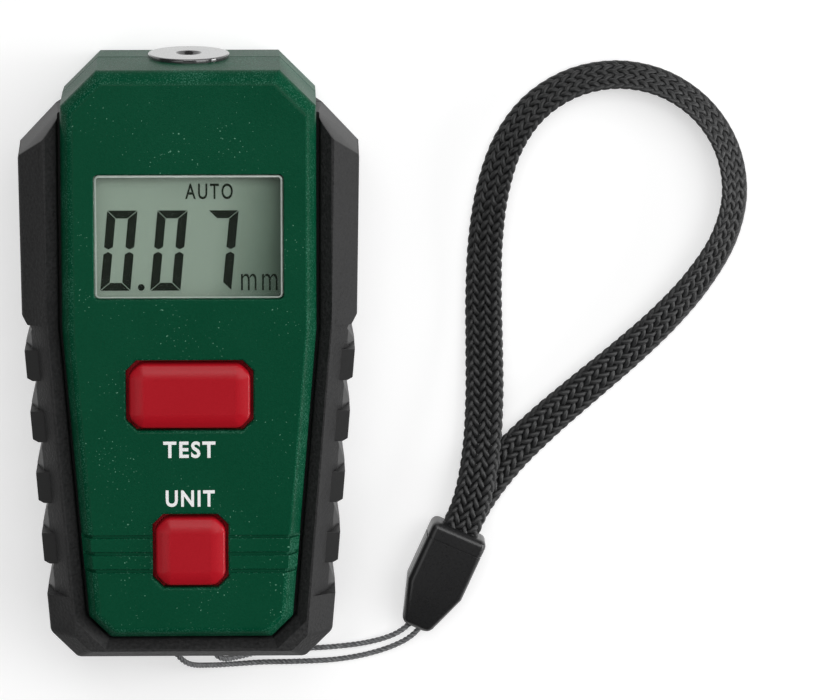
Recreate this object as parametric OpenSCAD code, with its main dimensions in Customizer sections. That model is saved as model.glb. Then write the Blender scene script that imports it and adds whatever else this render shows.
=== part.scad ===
// Coating thickness gauge: a pocket instrument with a probe at one end, a display, two keys,
// soft grips on both sides and a wrist strap. It lies on its back with the face up.
// Millimetres. X runs across the face, Y runs towards the probe, Z points out of the face.

/* [Case] */
// Length from the strap end to the wall that carries the probe
body_len = 100.5; // [98:0.5:104]
// Half width of the case along its straight sides
case_half = 21.05; // [20.6:0.05:22]
// Half width of the flat wall at the probe end
end_half = 15.1; // [14.2:0.1:15.8]
// Half width of the case at the strap end
strap_half = 17.05; // [16.6:0.05:17.8]
// Height of the face above the table
face_z = 26.6; // [26:0.1:28]
// Height of the seam between the two halves
seam_z = 11.2; // [11:0.1:11.6]
// Wall thickness of both halves
wall = 1.8; // [1.6:0.1:2]
// Width of the bevel round the face
face_bevel = 1.5; // [1:0.1:1.8]

/* [Grips] */
// Gap between the case and the raised edge of the grip
groove_w = 1.05; // [0.7:0.05:1.2]
// Width of a grip from that edge to its outer side
grip_w = 6.1; // [5.5:0.1:7]
// Thickness of the grip across the strap end
grip_end = 3.3; // [3:0.1:4]
// Distance between two notches
pad_pitch = 10.45; // [10.2:0.05:10.6]
// Depth of a notch
pad_depth = 1.5; // [1.1:0.05:1.7]

/* [Display] */
// Width of the green margin beside the window
window_side = 5.4; // [5.3:0.1:6]
// Height of the window
window_h = 21; // [20:0.1:21.5]

/* [Keys] */
// Width of the test key
test_w = 20.1; // [18:0.1:21]
// Height of the test key
test_h = 10.9; // [10:0.1:11.2]
// Width and height of the unit key
unit_w = 11.6; // [10:0.1:12]
// How far the keys stand out of the face
key_proud = 1.1; // [0.8:0.1:1.6]
// Travel of a key
key_travel = 0.5; // [0.3:0.05:0.6]

/* [Probe] */
// Diameter of the probe disc
probe_d = 13.5; // [12.8:0.1:15]
// How far the disc stands out of the end wall
probe_proud = 0.7; // [0.5:0.1:1.6]

/* [Batteries] */
// Diameter of a cell
cell_d = 10.5; // [10.2:0.1:10.5]
// Length of a cell
cell_len = 44.5; // [43.5:0.1:44.6]
// Travel that frees the battery door
door_travel = 4; // [3:0.5:5]

/* [Strap] */
// Diameter of the thin cord
cord_d = 1; // [0.8:0.05:1.2]
// Width of the flat braid
braid_w = 6.4; // [5.5:0.1:7]
// Thickness of the flat braid
braid_t = 2; // [1.6:0.1:2.1]

/* [Hidden] */
$fn = 48;
eps = 0.01;

case_green = "#05452c";
grip_black = "#2b2c2d";
key_red = "#a01420";

// Ends of the object along Y
y_strap = -(body_len + probe_proud) / 2;
y_end = y_strap + body_len;

// Outlines are listed counter-clockwise: up the right side, then down the left
function both_sides(h) = concat(h, [for (i = [len(h) - 1:-1:0]) [-h[i][0], h[i][1]]]);
function along(v) = v / norm(v);
function outward(a, b) = let (d = along(b - a)) [d[1], -d[0]];
function edge_inset(d, i) = is_list(d) ? d[i] : d;
function inset(p, d) = [
    for (i = [0:len(p) - 1])
        let (
            n = len(p),
            h = (i + n - 1) % n,
            u = outward(p[h], p[i]),
            v = outward(p[i], p[(i + 1) % n]),
            du = edge_inset(d, h),
            dv = edge_inset(d, i),
            turn = u[0] * v[1] - u[1] * v[0]
        )
        p[i] - [du * v[1] - dv * u[1], dv * u[0] - du * v[0]] / turn
];

// Case outline
taper_from_end = 43.5;
y_taper = y_end - taper_from_end;
y_case = y_strap + grip_end + groove_w;
case_cut = 3.6;
case_outline = both_sides([
    [strap_half - case_cut, y_case],
    [strap_half, y_case + case_cut],
    [case_half, y_taper],
    [case_half, y_end - (case_half - end_half)],
    [end_half, y_end]
]);

// Grip outline
grip_tip_from_end = 7.6;
grip_front = 6.5;
strap_corner = 4.5;
grip_half = case_half + groove_w + grip_w;
grip_half_taper = grip_half - 0.4;
grip_half_strap = strap_half + groove_w + 5.55;
y_tip = y_end - grip_tip_from_end;
grip_outline = both_sides([
    [grip_half_strap - strap_corner, y_strap],
    [grip_half_strap, y_strap + strap_corner],
    [grip_half_taper, y_taper],
    [grip_half, y_tip - grip_front],
    [case_half + groove_w, y_tip]
]);
grip_bevel_side = 4.2;
grip_bevel_end = 1.9;
grip_bevels = [3, grip_bevel_side, grip_bevel_side, 1.3, 0, 1.3, grip_bevel_side, grip_bevel_side, 3,
    grip_bevel_end];
front_lean = [0, 0, 0, 0.5, 0, 0.5, 0, 0, 0, 0];
rear_lean = [0.3, 0.5, 0.5, 1.4, 0, 1.4, 0.5, 0.5, 0.3, 0.3];
rear_bevels = [2.2, 2.6, 2.6, 2.4, 0, 2.4, 2.6, 2.6, 2.2, 1.6];
slit_w = 0.5 * groove_w;
inner_slope = [1.1, 1.25, 1.45, 1.45, 1.45, 1.45, 1.45, 1.25, 1.1, 1];
inner_rims = [for (v = inner_slope) -groove_w - v];

// Levels
bevel_h = 2;
seam_gap = 0.3;
seam_up = seam_z + seam_gap / 2;
seam_down = seam_z - seam_gap / 2;
panel_in = face_z - wall;
grip_side_z = face_z - 5.6;
grip_top_z = face_z - 1.8;
grip_rim_z = grip_top_z - 2;
groove_z = face_z - 6;
grip_back_z = 0.4;
grip_back_side_z = 3.5;
back_bevel = 1.2;
end_lean = [0, 0, 0, 0.5, 0.5, 0.5, 0, 0, 0, 0];
end_foot = [for (v = end_lean) v + back_bevel];
board_t = 1.6;
board_top = panel_in - 7.6;
board_bottom = board_top - board_t;

// Face grooves near the strap end
unit_y = y_end - 0.8044 * body_len;
test_y = y_end - 0.54 * body_len;
line_pitch = 2.95;
line_w = 0.6;
line_depth = 0.45;
line_y = unit_y + 2.5;

// Display stack
window_from_end = 27.5;
window_y = y_end - window_from_end;
window_w = 2 * (case_half - window_side);
window_r = 0.8;
window_gap = 0.15;
window_sunk = 0.25;
lens_flange = 1.5;
lens_flange_t = 0.9;
seal_t = 0.5;
seal_w = 1.4;
lcd_t = 2.4;
frame_rim = 1.4;
lcd_over = 1.4;
lcd_w = window_w + 2 * lcd_over;
lcd_h = window_h + 2 * lcd_over;
lcd_top = panel_in - lens_flange_t - seal_t;
lcd_bottom = lcd_top - lcd_t;
zebra_w = 1.8;
zebra_len = window_w - 2;
zebra_y = lcd_h / 2 - 1.6;

// Keys
key_cut = 1.75;
key_gap = 0.5;
key_flange = 1.6;
key_flange_t = 1;
key_flange_gap = 0.4;
stem_d = 3.4;
switch_w = 6;
switch_h = 3.5;
plunger_d = 3.4;
plunger_gap = 0.15;
plunger_up = 0.8;
plunger_in = 1;
switch_top = board_top + switch_h;
key_top = face_z + key_proud;

// Fixings
case_screw_d = 2.2;
case_boss_d = 5.4;
case_head_d = 4.4;
case_head_h = 1.5;
case_head_z = 2.2;
case_screw_len = 16;
case_screw_at = [
    [end_half - 0.6, y_end - 9.2], [-(end_half - 0.6), y_end - 9.2],
    [strap_half - 2.75, y_case + 27.2], [-(strap_half - 2.75), y_case + 27.2]
];
board_screw_d = 1.6;
board_boss_d = 4.2;
board_head_d = 3.2;
board_head_h = 1.2;
board_screw_len = 6;
board_screw_at = [
    [case_half - 5.55, y_taper - 1.9], [-(case_half - 5.55), y_taper - 1.9],
    [strap_half - 4.6, y_case + 9.2], [-(strap_half - 4.6), y_case + 9.2]
];
screw_gap = 0.03;
board_y0 = y_case + 5.4;
board_y1 = y_end - 13.4;

// Probe
barrel_d = 9.5;
barrel_len = 12;
collar_d = 12.4;
collar_t = 1.2;
probe_hole = 2.8;
probe_sink = 4.4;
coil_d = 5;
core_d = 2.5;
core_sunk = 1.8;
coil_len = 7;
lead_d = 0.8;
lead_x = core_d / 2 + lead_d / 2 + 0.05;
lead_z = min(seam_z + 1.4, board_bottom - 1.3);

// Battery bay
cell_z = 2.1 + cell_d / 2;
cell_x = cell_d / 2 + 0.2;
bay_half = cell_d + 0.45;
bay_wall = 1.2;
bay_wall_z = 10.8;
bay_y0 = y_case + 8.65;
bay_y1 = bay_y0 + cell_len + 6.6;
spring_room = 4.8;
spring_bite = 0.15;
spring_d = 6.5;
spring_wire = 0.8;
spring_turns = 4;
contact_t = 0.4;
contact_w = 8.6;
dimple_d = 5.5;
nub_d = 3.6;
nub_len = 0.9;
left_y0 = bay_y0 + contact_t + spring_room;
left_y1 = left_y0 + cell_len;
right_y1 = bay_y1 - contact_t - spring_room;
right_y0 = right_y1 - cell_len;

// Battery door
door_back = 0.3;
door_half = bay_half - 0.2;
tongue_w = 0.6;
tongue_z0 = 0.8;
tongue_z1 = 1.3;
door_gap = 0.2;
door_y0 = y_case - 1;
door_y1 = bay_y1 + 1;
door_top = 1.8;

// Strap anchor
strap_hole_d = 1.8;
strap_x = 3.2;
strap_z = seam_z + 1.8;
post_d = 2;
post_y = y_case + wall + 1.2;

// Clip on the table, and places on it: forward from its nose, and to the left of its axis
clip_len = 19;
clip_w = 10;
clip_t = 6.5;
clip_turn = 66;
clip_nose = [38, y_strap + 0.1];
clip_axis = [cos(clip_turn), sin(clip_turn)];
function on_clip(a, b) = clip_nose + a * clip_axis + b * [-clip_axis[1], clip_axis[0]];
function in_clip(a, b) = let (p = on_clip(a, b)) [p[0], p[1], clip_t / 2];

// Cord from the left hole along the table, round inside the clip and back to the right hole
cord_ground = cord_d / 2;
cord_turn = 2.4;
cord_turn_at = 10;
cord_out = [
    [-0.8, post_y + 1.6, strap_z], [-2, post_y + 0.6, strap_z], [-strap_x, y_case + wall, strap_z],
    [-strap_x, y_strap, strap_z], [-2.6, y_strap - 2.2, strap_z - 1], [-0.6, y_strap - 4.4, 10],
    [3, y_strap - 6, 5.2], [7, y_strap - 6.7, 2], [12, y_strap - 6.8, cord_ground],
    [18, y_strap - 6.7, cord_ground], [25, y_strap - 6.3, cord_ground], [31, y_strap - 5, 0.9],
    [35.6, y_strap - 3, 1.8], [38.2, y_strap - 0.8, 2.8]
];
cord_loop = concat(
    [in_clip(2, -0.8), in_clip(6, -1.8)],
    [for (a = [-90:45:90]) in_clip(cord_turn_at + cord_turn * cos(a), cord_turn * sin(a))],
    [in_clip(6, 1.8), in_clip(2, 0.8)]
);
cord_back = [
    [36.4, y_strap, 2.8], [33.8, y_strap - 1.8, 2], [29.4, y_strap - 3.3, 1],
    [24, y_strap - 4.1, cord_ground], [19, y_strap - 4.4, cord_ground], [15, y_strap - 4.4, 1.2],
    [11, y_strap - 4.3, 3.4], [7.4, y_strap - 4.1, 7], [5, y_strap - 3.2, 11],
    [3.6, y_strap - 1.8, strap_z - 0.9], [strap_x, y_strap, strap_z], [strap_x, y_case + wall, strap_z],
    [2, post_y + 0.6, strap_z], [0.8, post_y + 1.6, strap_z]
];
cord_route = concat(cord_out, cord_loop, cord_back);

// Braid: a drop shaped loop in line with the clip, its two ends one over the other in the clip
loop_len = 84;
loop_r = 20;
loop_straight = loop_len - loop_r;
loop_rings = 8;
braid_in = 2.6;
layer_up = 1.25;
layer_two = layer_up + braid_t + 0.1;
braid_lean = 56;
function ease(x) = let (u = min(max(x, 0), 1)) u * u * (3 - 2 * u);
function ring_s(i) = -braid_in + (loop_straight + braid_in) * i / loop_rings;
function on_loop(s, b, up) = let (p = on_clip(clip_len + s, b)) [p[0], p[1], up];
braid_out = [
    for (i = [0:loop_rings])
        let (s = ring_s(i))
        on_loop(s, -loop_r * ease(s / loop_straight), layer_up * (1 - ease(s / 16)))
];
braid_round = [for (a = [-67.5:22.5:67.5]) on_loop(loop_straight + loop_r * cos(a), loop_r * sin(a), 0)];
braid_back = [
    for (i = [loop_rings:-1:0])
        let (s = ring_s(i))
        on_loop(s, loop_r * ease(s / loop_straight), layer_two * (1 - ease(s / 40)))
];
braid_rests = concat(braid_out, braid_round, braid_back);
braid_leans = [
    for (i = [0:len(braid_rests) - 1])
        let (turn = sin(180 * i / (len(braid_rests) - 1)))
        braid_lean * turn * turn
];
function braid_height(lean) = braid_w / 2 * sin(lean) + braid_t / 2 * cos(lean);
braid_path = [
    for (i = [0:len(braid_rests) - 1])
        braid_rests[i] + [0, 0, braid_height(braid_leans[i])]
];

// Plain solids used by several parts
module prism(p, z0, z1) {
    translate([0, 0, z0])
        linear_extrude(z1 - z0)
            polygon(p);
}

module frustum(p0, z0, p1, z1) {
    n = len(p0);
    polyhedron(
        points = concat([for (q = p0) [q[0], q[1], z0]], [for (q = p1) [q[0], q[1], z1]]),
        faces = concat(
            [[for (i = [0:n - 1]) i]],
            [[for (i = [n - 1:-1:0]) n + i]],
            [for (i = [0:n - 1]) [i, n + i, n + (i + 1) % n, (i + 1) % n]]
        )
    );
}

module block(x0, x1, y0, y1, z0, z1) {
    translate([x0, y0, z0])
        cube([x1 - x0, y1 - y0, z1 - z0]);
}

module plate(w, h, z0, z1) {
    block(-w / 2, w / 2, -h / 2, h / 2, z0, z1);
}

module post(at, d, z0, z1) {
    translate([at[0], at[1], z0])
        cylinder(d = d, h = z1 - z0);
}

module round_plate(w, h, r, z0, z1) {
    translate([0, 0, z0])
        linear_extrude(z1 - z0)
            union() {
                square([w, h - 2 * r], center = true);
                square([w - 2 * r, h], center = true);
                for (x = [-1, 1], y = [-1, 1])
                    translate([x * (w / 2 - r), y * (h / 2 - r)])
                        circle(r);
            }
}

// A round bar along Y, from y0 to y1 through the point x, z
module bar_y(x, z, d, y0, y1) {
    translate([x, y1, z])
        rotate([90, 0, 0])
            cylinder(d = d, h = y1 - y0);
}

function cut_rectangle(w, h, c) = both_sides([
    [w / 2 - c, -h / 2], [w / 2, -h / 2 + c], [w / 2, h / 2 - c], [w / 2 - c, h / 2]
]);

// Tube of a given section swept along a route, its section turned by a lean at each ring
function ring_at(route, leans, section, i) =
    let (
        last = len(route) - 1,
        ahead = route[min(i + 1, last)],
        behind = route[max(i - 1, 0)],
        t = along(ahead - behind),
        s = along(cross([0, 0, 1], t)),
        n = cross(t, s),
        u = cos(leans[i]) * s + sin(leans[i]) * n,
        v = cos(leans[i]) * n - sin(leans[i]) * s
    )
    [for (q = section) route[i] + q[0] * u + q[1] * v];

module tube(route, leans, section) {
    m = len(section);
    last = len(route) - 1;
    polyhedron(
        points = [for (i = [0:last]) each ring_at(route, leans, section, i)],
        faces = concat(
            [[for (j = [0:m - 1]) j]],
            [[for (j = [m - 1:-1:0]) last * m + j]],
            [
                for (i = [0:last - 1], j = [0:m - 1])
                    let (k = (j + 1) % m)
                    each [
                        [i * m + j, (i + 1) * m + j, (i + 1) * m + k],
                        [i * m + j, (i + 1) * m + k, i * m + k]
                    ]
            ]
        )
    );
}

function round_section(d, sides) = [for (j = [0:sides - 1]) d / 2 * [cos(360 * j / sides), sin(360 * j / sides)]];
function level(route) = [for (p = route) 0];

// Case halves
module case_body(shrink) {
    prism(inset(case_outline, shrink), seam_up, face_z - bevel_h);
    frustum(inset(case_outline, shrink), face_z - bevel_h,
        inset(case_outline, face_bevel + shrink), face_z - shrink);
}

module face_lines() {
    for (i = [0:2])
        translate([0, line_y - i * line_pitch, face_z - bevel_h])
            translate([-case_half, -line_w / 2, 0])
                cube([2 * case_half, line_w, 2 * bevel_h]);
}

module strap_holes(y0, y1) {
    for (x = [-strap_x, strap_x])
        bar_y(x, strap_z, strap_hole_d, y0, y1);
}

module key_hole(w, h, y) {
    translate([0, y, 0])
        prism(cut_rectangle(w + 2 * key_gap, h + 2 * key_gap, key_cut), panel_in - 1, face_z + 1);
}

module barrel_hole() {
    bar_y(0, seam_z, barrel_d + 0.1, y_end - wall - 1, y_end + 1);
}

module front_shell() {
    color(case_green)
    difference() {
        union() {
            difference() {
                case_body(0);
                difference() {
                    face_lines();
                    case_body(line_depth);
                }
                prism(inset(case_outline, wall), 0, panel_in);
            }
            for (p = case_screw_at)
                post(p, case_boss_d, seam_up, panel_in + eps);
            for (p = board_screw_at)
                post(p, board_boss_d, board_top, panel_in + eps);
            post([0, post_y], post_d, seam_up + 0.2, panel_in + eps);
        }
        prism(inset(case_outline, wall / 2 - 0.1), 0, seam_z + 1.15);
        translate([0, window_y, 0])
            round_plate(window_w, window_h, window_r, panel_in - 1, face_z + 1);
        key_hole(test_w, test_h, test_y);
        key_hole(unit_w, unit_w, unit_y);
        for (p = case_screw_at)
            post(p, case_screw_d + 2 * screw_gap, 0, case_head_z + case_screw_len + 1);
        for (p = board_screw_at)
            post(p, board_screw_d + 2 * screw_gap, 0, board_bottom + board_screw_len + 1);
        barrel_hole();
        strap_holes(y_strap - 1, y_case + wall + 1);
    }
    color(case_green)
    difference() {
        for (p = case_screw_at)
            post(p, case_boss_d, seam_up, seam_z + 1.15);
        for (p = case_screw_at)
            post(p, case_screw_d + 2 * screw_gap, 0, face_z);
    }
    color(case_green)
        post([0, post_y], post_d, seam_up + 0.2, seam_z + 1.15);
}

module rear_shell() {
    color(case_green)
    difference() {
        union() {
            difference() {
                union() {
                    frustum(inset(case_outline, end_foot), 0, inset(case_outline, end_lean), back_bevel);
                    frustum(inset(case_outline, end_lean), back_bevel, case_outline, seam_down);
                }
                prism(inset(case_outline, wall), wall, seam_z + 1);
            }
            difference() {
                prism(inset(case_outline, wall / 2), seam_down - eps, seam_z + 1);
                prism(inset(case_outline, wall), 0, face_z);
            }
            for (p = case_screw_at)
                post(p, case_boss_d, wall - eps, seam_down);
            difference() {
                block(-bay_half - bay_wall, bay_half + bay_wall, bay_y0 - bay_wall, bay_y1 + bay_wall,
                    wall - eps, bay_wall_z);
                block(-bay_half, bay_half, bay_y0, bay_y1, 0, face_z);
            }
        }
        block(-bay_half, bay_half, y_strap, door_y1 + door_gap, -1, door_top + 0.3);
        block(-bay_half - tongue_w, bay_half + tongue_w, y_strap, door_y1 + door_gap,
            tongue_z0 - door_gap, tongue_z1 + door_gap);
        for (p = case_screw_at) {
            post(p, case_screw_d + 0.3, 0, face_z);
            post(p, case_head_d + 0.3, -1, case_head_z + case_head_h);
        }
        barrel_hole();
    }
}

// Grips
lower_run = y_taper - (y_strap + strap_corner);
side_slope = (grip_half_taper - grip_half_strap) / lower_run;
side_turn = atan(side_slope);
notch_above_taper = 1.45;
notch_count = 5;
function notch_y(k) = y_taper + notch_above_taper - k * pad_pitch;
function side_x(y) = grip_half_taper - side_slope * (y_taper - y);
function notch_top(k) = k == 0 ? -0.7 : 0;
function notch_low(k) = k == 0 ? 2.4 : 0.9;
ramp_end = 5.6;
shelf_w = 2.2;
shelf_z = grip_side_z + 0.45;
shelf_fall = (shelf_z - grip_side_z + 0.15) / shelf_w;
band_rise = (grip_top_z - shelf_z) / (grip_bevel_side - shelf_w - 0.15);
function band_z(x) = shelf_z + (x - shelf_w) * band_rise;
notch_in = pad_depth - 0.2;
notch_from = shelf_w + 0.4;
function notch_z(x) = band_z(notch_from) + 1.12 * (x - notch_from) * band_rise;

// A place in plan: along the right side from the start of notch k, then inwards
side_down = -along([side_slope, 1]);
side_in = along([-1, side_slope]);
function by_side(k, t, d) = [side_x(notch_y(k)), notch_y(k)] + t * side_down + d * side_in;

// One notch across the right side: a steep step down and a long ramp up to the next pad
module notch(k) {
    prism([
        by_side(k, 2 * notch_top(k) - notch_low(k), -pad_depth), by_side(k, notch_low(k), pad_depth),
        by_side(k, 2 * ramp_end - notch_low(k), -pad_depth)
    ], -1, face_z);
}

// Cuts a profile along the right side, starting a length after the start of notch k
module side_cut(k, start, run, profile) {
    translate([side_x(notch_y(k)), notch_y(k), 0])
        rotate([0, 0, -side_turn])
            translate([0, -start, 0])
                rotate([90, 0, 0])
                    linear_extrude(run)
                        polygon(profile);
}

// Steep band beside the raised edge, the shelves on top of the pads below it, and a leaning facet in each notch
module pad_tops() {
    first = notch_low(0) / 2;
    band_in = shelf_w + (face_z - shelf_z) / band_rise;
    facet_z = notch_z(notch_in);
    side_cut(0, first, (notch_count - 1) * pad_pitch + ramp_end + 0.25 - first, [
        [-band_in, face_z], [-shelf_w, shelf_z], [2, shelf_z - (shelf_w + 2) * shelf_fall], [2, face_z]
    ]);
    for (k = [0:notch_count - 1]) {
        from = 0.6 * notch_low(k);
        side_cut(k, from, ramp_end + 0.1 - from, [
            [-shelf_w - 1, notch_z(shelf_w + 1)], [-notch_in, facet_z],
            [0.4, facet_z - 4.2 * (notch_in + 0.4)], [0.4, face_z], [-shelf_w - 1, face_z]
        ]);
    }
}

module both_grip_sides() {
    children();
    mirror([1, 0, 0])
        children();
}

module front_grip() {
    color(grip_black)
    difference() {
        union() {
            frustum(grip_outline, seam_up, inset(grip_outline, front_lean), grip_side_z);
            frustum(inset(grip_outline, front_lean), grip_side_z, inset(grip_outline, grip_bevels), grip_top_z);
        }
        prism(case_outline, 0, face_z);
        prism(inset(case_outline, -slit_w), groove_z, face_z);
        frustum(inset(case_outline, -slit_w), grip_rim_z, inset(case_outline, inner_rims), grip_top_z + eps);
        both_grip_sides() {
            for (k = [0:notch_count - 1])
                notch(k);
            pad_tops();
        }
        strap_holes(y_strap - 1, y_case + wall);
    }
}

module rear_grip() {
    color(grip_black)
    difference() {
        union() {
            frustum(inset(grip_outline, rear_bevels), grip_back_z,
                inset(grip_outline, rear_lean), grip_back_side_z);
            frustum(inset(grip_outline, rear_lean), grip_back_side_z, grip_outline, seam_down);
        }
        prism(case_outline, -1, face_z);
        both_grip_sides()
            for (k = [0:notch_count - 1])
                notch(k);
        block(-bay_half - tongue_w - 0.2, bay_half + tongue_w + 0.2, y_strap - 1, y_case + 1, -1, door_top + 0.4);
    }
}

// Display
module display_window() {
    color("#c8d2cc")
    translate([0, window_y, 0]) {
        round_plate(window_w - 2 * window_gap, window_h - 2 * window_gap, window_r,
            panel_in - eps, face_z - window_sunk);
        plate(window_w + 2 * lens_flange, window_h + 2 * lens_flange, panel_in - lens_flange_t, panel_in);
    }
}

module window_seal() {
    color("#202122")
    translate([0, window_y, 0])
    difference() {
        plate(lcd_w, lcd_h, lcd_top, lcd_top + seal_t);
        plate(lcd_w - 2 * seal_w, lcd_h - 2 * seal_w, 0, face_z);
    }
}

module lcd_panel() {
    color("#8d9a8c")
    translate([0, window_y, 0])
        plate(lcd_w, lcd_h, lcd_bottom, lcd_top);
}

module lcd_frame() {
    color("#3a3d40")
    translate([0, window_y, 0])
    difference() {
        plate(lcd_w + 2 * frame_rim, lcd_h + 2 * frame_rim, board_top, lcd_top);
        plate(lcd_w + 0.2, lcd_h + 0.2, lcd_bottom, face_z);
        plate(zebra_len, 2 * zebra_y - zebra_w - 2, 0, face_z);
        for (y = [-zebra_y, zebra_y])
            translate([0, y, 0])
                plate(zebra_len + 0.2, zebra_w + 0.2, 0, face_z);
    }
}

module zebra_strips() {
    color("#d06f8a")
    for (y = [-zebra_y, zebra_y])
        translate([0, window_y + y, 0])
            plate(zebra_len, zebra_w, board_top, lcd_bottom);
}

// Electronics
module circuit_board() {
    color("#1c6b3a")
    difference() {
        intersection() {
            prism(inset(case_outline, wall + 0.8), board_bottom, board_top);
            block(-grip_half, grip_half, board_y0, board_y1, 0, face_z);
        }
        for (p = case_screw_at)
            post(p, case_boss_d + 0.8, 0, face_z);
        for (p = board_screw_at)
            post(p, board_screw_d + 0.3, 0, face_z);
    }
}

module processor_chip() {
    color("#17181a")
    translate([0, window_y, 0])
        plate(10, 10, board_top, board_top + 1.4);
}

module board_components() {
    parts_y = (test_y + unit_y) / 2;
    color("#b9a27a") {
        for (x = [-5.8, -3.2, 2.6])
            block(x, x + 2, parts_y - 0.6, parts_y + 0.6, board_top, board_top + 0.9);
        block(5.8, 9.8, parts_y - 2.5, parts_y + 2.5, board_top, board_top + 1.6);
        bar_y(-8.6, board_top + 1.5, 3, parts_y - 3, parts_y + 3);
        block(-0.6, 1.8, parts_y - 1.2, parts_y + 1.2, board_top, board_top + 1.1);
    }
}

module switch_body(y) {
    color("#1d1e20")
    translate([0, y, 0])
    difference() {
        plate(switch_w, switch_w, board_top, switch_top);
        post([0, 0], plunger_d + 2 * plunger_gap, switch_top - plunger_in - key_travel - 0.2, switch_top + 1);
    }
}

module switch_plunger(y) {
    color("#d8d4c8")
        post([0, y], plunger_d, switch_top - plunger_in, switch_top + plunger_up);
}

module test_switch() {
    switch_body(test_y);
}

module unit_switch() {
    switch_body(unit_y);
}

module test_switch_plunger() {
    switch_plunger(test_y);
}

module unit_switch_plunger() {
    switch_plunger(unit_y);
}

module key(w, h, y) {
    flange_top = panel_in - key_flange_gap;
    color(key_red)
    translate([0, y, 0]) {
        prism(cut_rectangle(w, h, key_cut), flange_top - eps, key_top);
        prism(cut_rectangle(w + 2 * key_flange, h + 2 * key_flange, key_cut), flange_top - key_flange_t, flange_top);
        post([0, 0], stem_d, switch_top + plunger_up, flange_top - key_flange_t + eps);
    }
}

module test_button() {
    key(test_w, test_h, test_y);
}

module unit_button() {
    key(unit_w, unit_w, unit_y);
}

// Probe
module probe_housing() {
    color("#3c3e40")
    difference() {
        union() {
            bar_y(0, seam_z, barrel_d, y_end - barrel_len, y_end + eps);
            bar_y(0, seam_z, probe_d, y_end, y_end + probe_proud);
            bar_y(0, seam_z, collar_d, y_end - wall - 0.1 - collar_t, y_end - wall - 0.1);
        }
        bar_y(0, seam_z, probe_hole, y_end - barrel_len - 1, y_end + 2);
        bar_y(0, seam_z, coil_d + 0.3, y_end - barrel_len - 1, y_end - 1.4);
        translate([0, y_end + probe_proud + eps, seam_z])
            rotate([90, 0, 0])
                cylinder(d1 = probe_sink, d2 = probe_hole, h = (probe_sink - probe_hole) / 2);
    }
}

module probe_core() {
    color("#9a9ca0")
        bar_y(0, seam_z, core_d, y_end - barrel_len + 0.5, y_end + probe_proud - core_sunk);
}

module probe_coil() {
    color("#b5672f")
    difference() {
        bar_y(0, seam_z, coil_d, y_end - 2 - coil_len, y_end - 2);
        bar_y(0, seam_z, core_d + 0.1, y_end - barrel_len, y_end);
    }
}

module probe_leads() {
    y_coil = y_end - 2 - coil_len;
    color("#c9c2a0")
    for (x = [-lead_x, lead_x]) {
        route = [
            [x, y_coil, lead_z], [x, y_end - barrel_len - 0.6, lead_z],
            [x, board_y1 - 0.6, board_bottom - 0.6], [x, board_y1 - 2.4, board_bottom - lead_d / 2]
        ];
        tube(route, level(route), round_section(lead_d, 8));
    }
}

// Batteries
module battery_left() {
    color("#9b8f4a") {
        bar_y(-cell_x, cell_z, cell_d, left_y0, left_y1 - nub_len);
        bar_y(-cell_x, cell_z, nub_d, left_y1 - nub_len - eps, left_y1);
    }
}

module battery_right() {
    color("#9b8f4a") {
        bar_y(cell_x, cell_z, cell_d, right_y0 + nub_len, right_y1);
        bar_y(cell_x, cell_z, nub_d, right_y0, right_y0 + nub_len + eps);
    }
}

// Coil spring along Y from a contact at y0 to the cell at y1
module spring(x, y0, y1) {
    steps = 10;
    last = spring_turns * steps;
    radius = (spring_d - spring_wire) / 2;
    inner = spring_wire / 2;
    way = y1 > y0 ? 1 : -1;
    length = abs(y1 - y0) - spring_wire + spring_bite;
    points = [
        for (i = [0:last], j = [0:5])
            let (
                turn = 360 * i / steps,
                r = radius + inner * cos(60 * j),
                along_y = inner - spring_bite + length * i / last + inner * sin(60 * j)
            )
            [x + way * r * cos(turn), y0 + way * along_y, cell_z + r * sin(turn)]
    ];
    polyhedron(
        points = points,
        faces = concat(
            [[for (j = [0:5]) j]],
            [[for (j = [5:-1:0]) last * 6 + j]],
            [
                for (i = [0:last - 1], j = [0:5])
                    let (k = (j + 1) % 6)
                    each [
                        [i * 6 + j, (i + 1) * 6 + k, i * 6 + k],
                        [i * 6 + j, (i + 1) * 6 + j, (i + 1) * 6 + k]
                    ]
            ]
        )
    );
}

module contact(x, y, tab) {
    block(x - contact_w / 2, x + contact_w / 2, y, y + contact_t, cell_z - 4.2, cell_z + 4.2);
    if (tab)
        block(x - 1, x + 1, y, y + contact_t, cell_z + 4.2 - eps, board_bottom);
}

module battery_contact_plus() {
    color("#c0c4c8") {
        contact(-cell_x, bay_y1 - contact_t, true);
        bar_y(-cell_x, cell_z, dimple_d, left_y1, bay_y1 - contact_t + eps);
    }
}

module battery_contact_minus() {
    color("#c0c4c8") {
        contact(cell_x, bay_y1 - contact_t, true);
        spring(cell_x, bay_y1 - contact_t, right_y1);
    }
}

module battery_bridge() {
    color("#c0c4c8") {
        contact(-cell_x, bay_y0, false);
        contact(cell_x, bay_y0, false);
        block(-cell_x, cell_x, bay_y0, bay_y0 + contact_t, cell_z - 3, cell_z + 3);
        spring(-cell_x, bay_y0 + contact_t, left_y0);
        bar_y(cell_x, cell_z, dimple_d, bay_y0 + contact_t - eps, right_y0);
    }
}

module battery_door() {
    grip_ribs = 4;
    color(case_green)
    difference() {
        union() {
            block(-door_half, door_half, door_y0, door_y1, door_back, door_top);
            block(-door_half - tongue_w, door_half + tongue_w, y_case + 2, door_y1, tongue_z0, tongue_z1);
        }
        for (i = [0:grip_ribs - 1])
            block(-6, 6, door_y0 + 5 + 1.6 * i, door_y0 + 5.8 + 1.6 * i, 0, door_back + 0.4);
    }
}

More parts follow.
